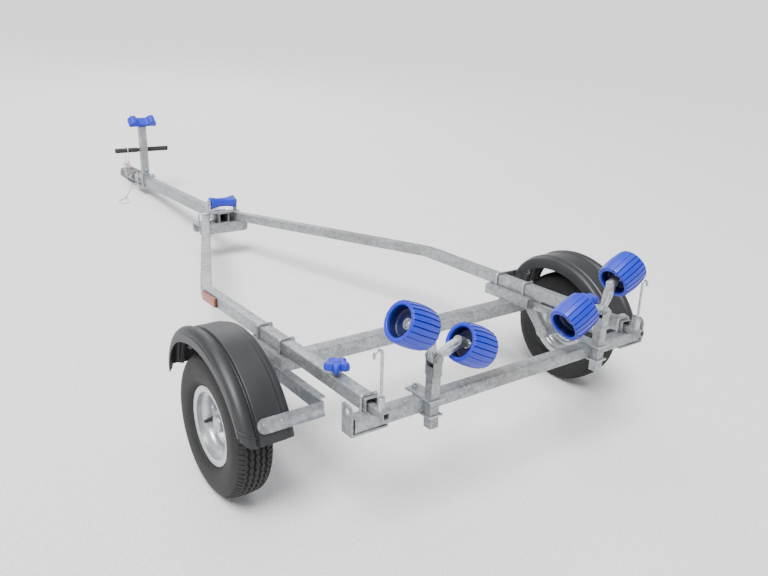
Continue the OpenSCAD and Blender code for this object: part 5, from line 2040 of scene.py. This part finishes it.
@dataclass
class StarKnob:
    """A five-lobed clamping knob on its screw, with a weld nut under it.

    Attributes:
        side: The side.
        lobes: The knob's lobes.
        height: The moulding's height.
    """

    side: Side
    lobes: int = 5
    height: float = 27.0

    def build(self) -> None:
        """Makes the knob and its screw.

        The knob's radius is the mean plus a cosine of five times the angle, made a little fuller, and
        its height follows a rounded section with a dished top and a raised middle.
        """
        node = f"star_knob_{self.side.word}"
        low, high = STANCE.box(node)
        y = (low[1] + high[1]) / 2
        big = (high[1] - low[1]) / 2
        reach = big / math.cos(math.radians(18))
        x = high[0] - reach
        base = high[2] - self.height
        a = np.arange(160) * TAU / 160
        lobe = np.cos(self.lobes * a)
        outline = 0.80 + 0.2 * np.sign(lobe) * np.abs(lobe) ** 0.8
        section = smooth_line([[0, 0], [0.5, 0], [0.86, 1.2], [0.97, 5], [1.0, 12], [0.97, 19], [0.88, 23.6],
                               [0.72, 25.4], [0.5, 24.8], [0.36, 25.2], [0.3, 26.6], [0.2, 27], [0, 27]], 3)
        blend = np.clip(section[:, :1] * 1.4, 0, 1)
        radius = section[:, :1] * reach * (blend * outline + (1 - blend) * 0.8)
        profile = np.stack([0 * section[:, 0], section[:, 1]], 1)
        middle = np.array([x, y, base])
        u = np.cos(a)[:, None] * [1, 0, 0] + np.sin(a)[:, None] * [0, 1, 0]
        grid = middle + profile[:, None, 1:] * np.array([0, 0, 1.0]) + radius[..., None] * u
        shape = Shape().grid(grid)
        shape.piece(node + "_moulding", node, Slot.MOULDED, [node], 50)
        screw = Shape()
        z = np.arange(low[2] + 1, base + 2, 0.75)
        thread = np.stack([4.7 + 0.3 * (np.arange(len(z)) % 2), z - low[2]], 1)
        screw.turn([[0, 1], *thread.tolist(), [0, z[-1] - low[2]]], (x, y, low[2]), (0, 0, 1), 20)
        rail_top = STANCE.box("side_rail_left")[1][2]
        screw.hexagon(17, 8, (x, y, rail_top), (0, 0, 1))
        screw.ring_bead((x, y, rail_top + 0.4), 10, 2.6, 25)
        screw.piece(node + "_screw", node, Slot.ZINC)


@dataclass
class LightRod:
    """The upright rod of the lighting board, hooked over at its top, in a welded socket.

    Attributes:
        side: The side.
        rod: The rod's diameter.
        hook: The radius that its top is bent to.
        tip: How far the hook's end hangs below the bend.
    """

    side: Side
    rod: float = 8.0
    hook: float = 12.0
    tip: float = 8.0

    def build(self) -> bpy.types.Object:
        """Makes the rod.

        Returns:
            The piece.
        """
        node = f"light_rod_{self.side.word}"
        low, high = STANCE.box("light_rod_left")
        x = (low[0] + high[0]) / 2
        y = high[1] - 2 * self.hook - self.rod / 2
        top = high[2] - self.hook - self.rod / 2
        a = np.linspace(math.pi, 0, 15)
        bend = np.stack([0 * a, y + self.hook + self.hook * np.cos(a), top + self.hook * np.sin(a)], 1)
        line = np.vstack([[0, y, low[2]], bend, [0, y + 2 * self.hook, top - self.tip]]) + [x, 0, 0]
        shape = Shape().rod(line, self.rod, (1, 0, 0), 18)
        shape.turn([[4.05, 0], [9.4, 0], [10, 0.6], [10, 33.2], [9.4, 34], [4.05, 34]], (x, y, low[2]),
                   (0, 0, 1), 36, loop=True)
        shape.ring_bead((x, y, low[2] + 0.8), 9.6, 3, 31)
        return shape.mirrored(self.side).piece(node + "_bent", node, Slot.ZINC, [node])


@dataclass
class Grips:
    """The pull handle's bar and its two ribbed rubber grips.

    Attributes:
        ribs: The rings on each grip.
        start: Where a grip begins, from the trailer's middle.
        tip: The length of its plain end.
        ring: The rings' height.
    """

    ribs: int = 11
    start: float = 26.0
    tip: float = 7.0
    ring: float = 2.2

    def build(self) -> None:
        """Makes the bar, then each grip: rounded rings beside each other, with a domed end."""
        low, high = STANCE.box("pull_handle")
        middle = (low + high) / 2
        bar = Shape().rod(np.array([[middle[0], low[1], middle[2]], [middle[0], high[1], middle[2]]]),
                          high[0] - low[0], (1, 0, 0), 28)
        bar.piece("pull_handle_bar", "pull_handle", Slot.GRIP, ["pull_handle"])
        low, high = STANCE.box("handle_grips")
        radius, end = (high[0] - low[0]) / 2, high[1]
        start, ribbed = self.start, end - self.tip
        z = np.linspace(start, ribbed, 150)
        wave = np.abs(np.sin((z - start) / (ribbed - start) * self.ribs * math.pi)) ** 0.5
        body = np.stack([radius - self.ring + self.ring * wave, z], 1)
        tip = [[radius, end - 6.5], [radius, end - 3], [radius - 1.6, end - 0.8], [radius - 4, end], [0, end]]
        section = np.vstack([[[10.6, start]], body, tip])
        shape = Shape()
        for i in (-1, 1):
            shape.turn(np.vstack([[[0, start]], section]), (middle[0], 0, middle[2]), (0, i, 0), 40)
        shape.piece("handle_grip_rubbers", "handle_grips", Slot.GRIP, ["handle_grips"], 60)


@dataclass
class Reflector:
    """An amber side reflector: a lens with rounded edges on a thin black back.

    Attributes:
        side: The side.
        back: The back's thickness.
        inset: How far the lens lies inside the back's outline.
        corner: The radius of the outline's corners.
        fall: How much smaller the outline is at the face, as a share.
    """

    side: Side
    back: float = 3.5
    inset: float = 1.6
    corner: float = 5.0
    fall: float = 0.13

    def build(self) -> None:
        """Makes the back and the lens, each a rounded plate whose edge falls away as a quarter circle."""
        node = f"side_reflector_{self.side.word}"
        low, high = STANCE.box("side_reflector_left")
        middle = (low + high) / 2
        length, height = high[0] - low[0], high[2] - low[2]
        for name, y0, y1, inset, slot, nodes in (
            ("_back", low[1], low[1] + self.back, 0.0, Slot.GUARD, []),
            ("_lens", low[1] + self.back, high[1], self.inset, Slot.REFLECTOR, [node])):
            outline = rounded_rectangle(length - 2 * inset, height - 2 * inset, self.corner, 7)
            t = np.linspace(0, math.pi / 2, 6)
            edge = min(y1 - y0, 3.0)
            rows = [(y0, 1.0)] + [(y1 - edge + edge * math.sin(a), 1 - self.fall * (1 - math.cos(a)))
                                  for a in t]
            grid = np.array([[[middle[0] + s * p[0], y, middle[2] + s * p[1]]
                              for p in outline] for y, s in rows])
            Shape().grid(grid).mirrored(self.side).piece(node + name, node, slot, nodes, 50)


@dataclass
class Coupling:
    """The pressed coupling head, with its lever, release button and hinge pin.

    Attributes:
        red: The button's colour.
        button: How far ahead of and above the lever's low rear corner the button stands.
        pin: How far behind the lever's front end and below its underside the hinge pin is.
        pin_half: Half the width between the pin's ends.
    """

    red: tuple[float, float, float] = (0.75, 0.03, 0.04)
    button: tuple[float, float] = (12.0, 4.0)
    pin: tuple[float, float] = (70.0, 12.0)
    pin_half: float = 27.6

    def build(self) -> None:
        """Makes the body and the lever from their CAD shapes, and adds the button and the hinge pin."""
        PressedPart("coupling_body", Slot.COUPLING, 1.6, 3).build()
        PressedPart("coupling_lever", Slot.ZINC, 1.4, 3).build()
        low, high = STANCE.box("coupling_lever")
        red = Paint("button_red", self.red, 0.28).make()
        shape = Shape().turn([[0, 0], [8.4, 0], [9, 0.6], [9, 5], [8.2, 6.2], [6, 6.8], [0, 7]],
                             (low[0] + self.button[0], 0, low[2] + self.button[1]), (0, 0, 1), 32)
        shape.piece("release_button", "coupling_lever", Slot.COUPLING, material=red)
        ends = Shape()
        for i in (-1, 1):
            ends.turn([[0, 0], [6, 0], [6.2, 1.5], [5, 3], [2, 3.6], [0, 3.7]],
                      (high[0] - self.pin[0], i * self.pin_half, low[2] - self.pin[1]), (0, i, 0), 24)
        ends.piece("coupling_pin_ends", "coupling_body", Slot.ZINC)


def pair(stem: str, slot: Slot, edge: float) -> list[PressedPart]:
    """The same pressed part on each side.

    Args:
        stem: The node's name without its side.
        slot: The material slot.
        edge: The width of the broken edge in millimetres.

    Returns:
        The left part and the right one.
    """
    return [PressedPart(f"{stem}_{side.word}", slot, edge) for side in Side]


ANCHOR = PressedPart("cable_anchor", Slot.ZINC, 1.5, 3)
PRESSED: tuple[PressedPart, ...] = (
    PressedPart("front_channel", Slot.GALVANISED, 1.0),
    *pair("axle_saddle", Slot.GALVANISED, 1.0),
    *pair("suspension_arm", Slot.GALVANISED, 1.5),
    *pair("lashing_plate", Slot.GALVANISED, 0.8),
    *pair("guard_stays", Slot.ZINC, 0.8),
    PressedPart("keel_bracket", Slot.GALVANISED, 0.8),
    PressedPart("keel_pin", Slot.ZINC, 0.8),
    PressedPart("post_clamp", Slot.ZINC, 0.7),
    PressedPart("bow_snubber", Slot.MOULDED, 5.0, 4),
    *pair("roller_stem", Slot.GALVANISED, 0.8),
    *pair("stem_clamp", Slot.ZINC, 0.7),
)


def main() -> None:
    """Builds the studio, the cables and every sub-assembly in order, and reports each."""
    logging.basicConfig(level=logging.INFO, format="%(message)s")
    studio = Studio()
    studio.camera()
    ANCHOR.build()
    SafetyCable().build()
    studio.floor()
    studio.lights()
    TubeFrame().build()
    SquareClamps().build()
    for part in PRESSED:
        part.build()
    Welds().build()
    for side in Side:
        Wheel(side).build()
        SwingArm(side).build()
        StarKnob(side).build()
        LightRod(side).build()
        Reflector(side).build()
        for place in ("outer", "inner"):
            WobbleRoller(f"{place}_{side.word}").barrel()
    Mudguard().build()
    BoltHeads().build()
    KeelRoller().build()
    Grips().build()
    Coupling().build()
    left = sorted(n for n, o in frame["nodes"].items() if not o.hide_render)
    LOG.info("CAD nodes still shown: %s", left)


if __name__ == "__main__":
    main()
    bpy.context.view_layer.update()
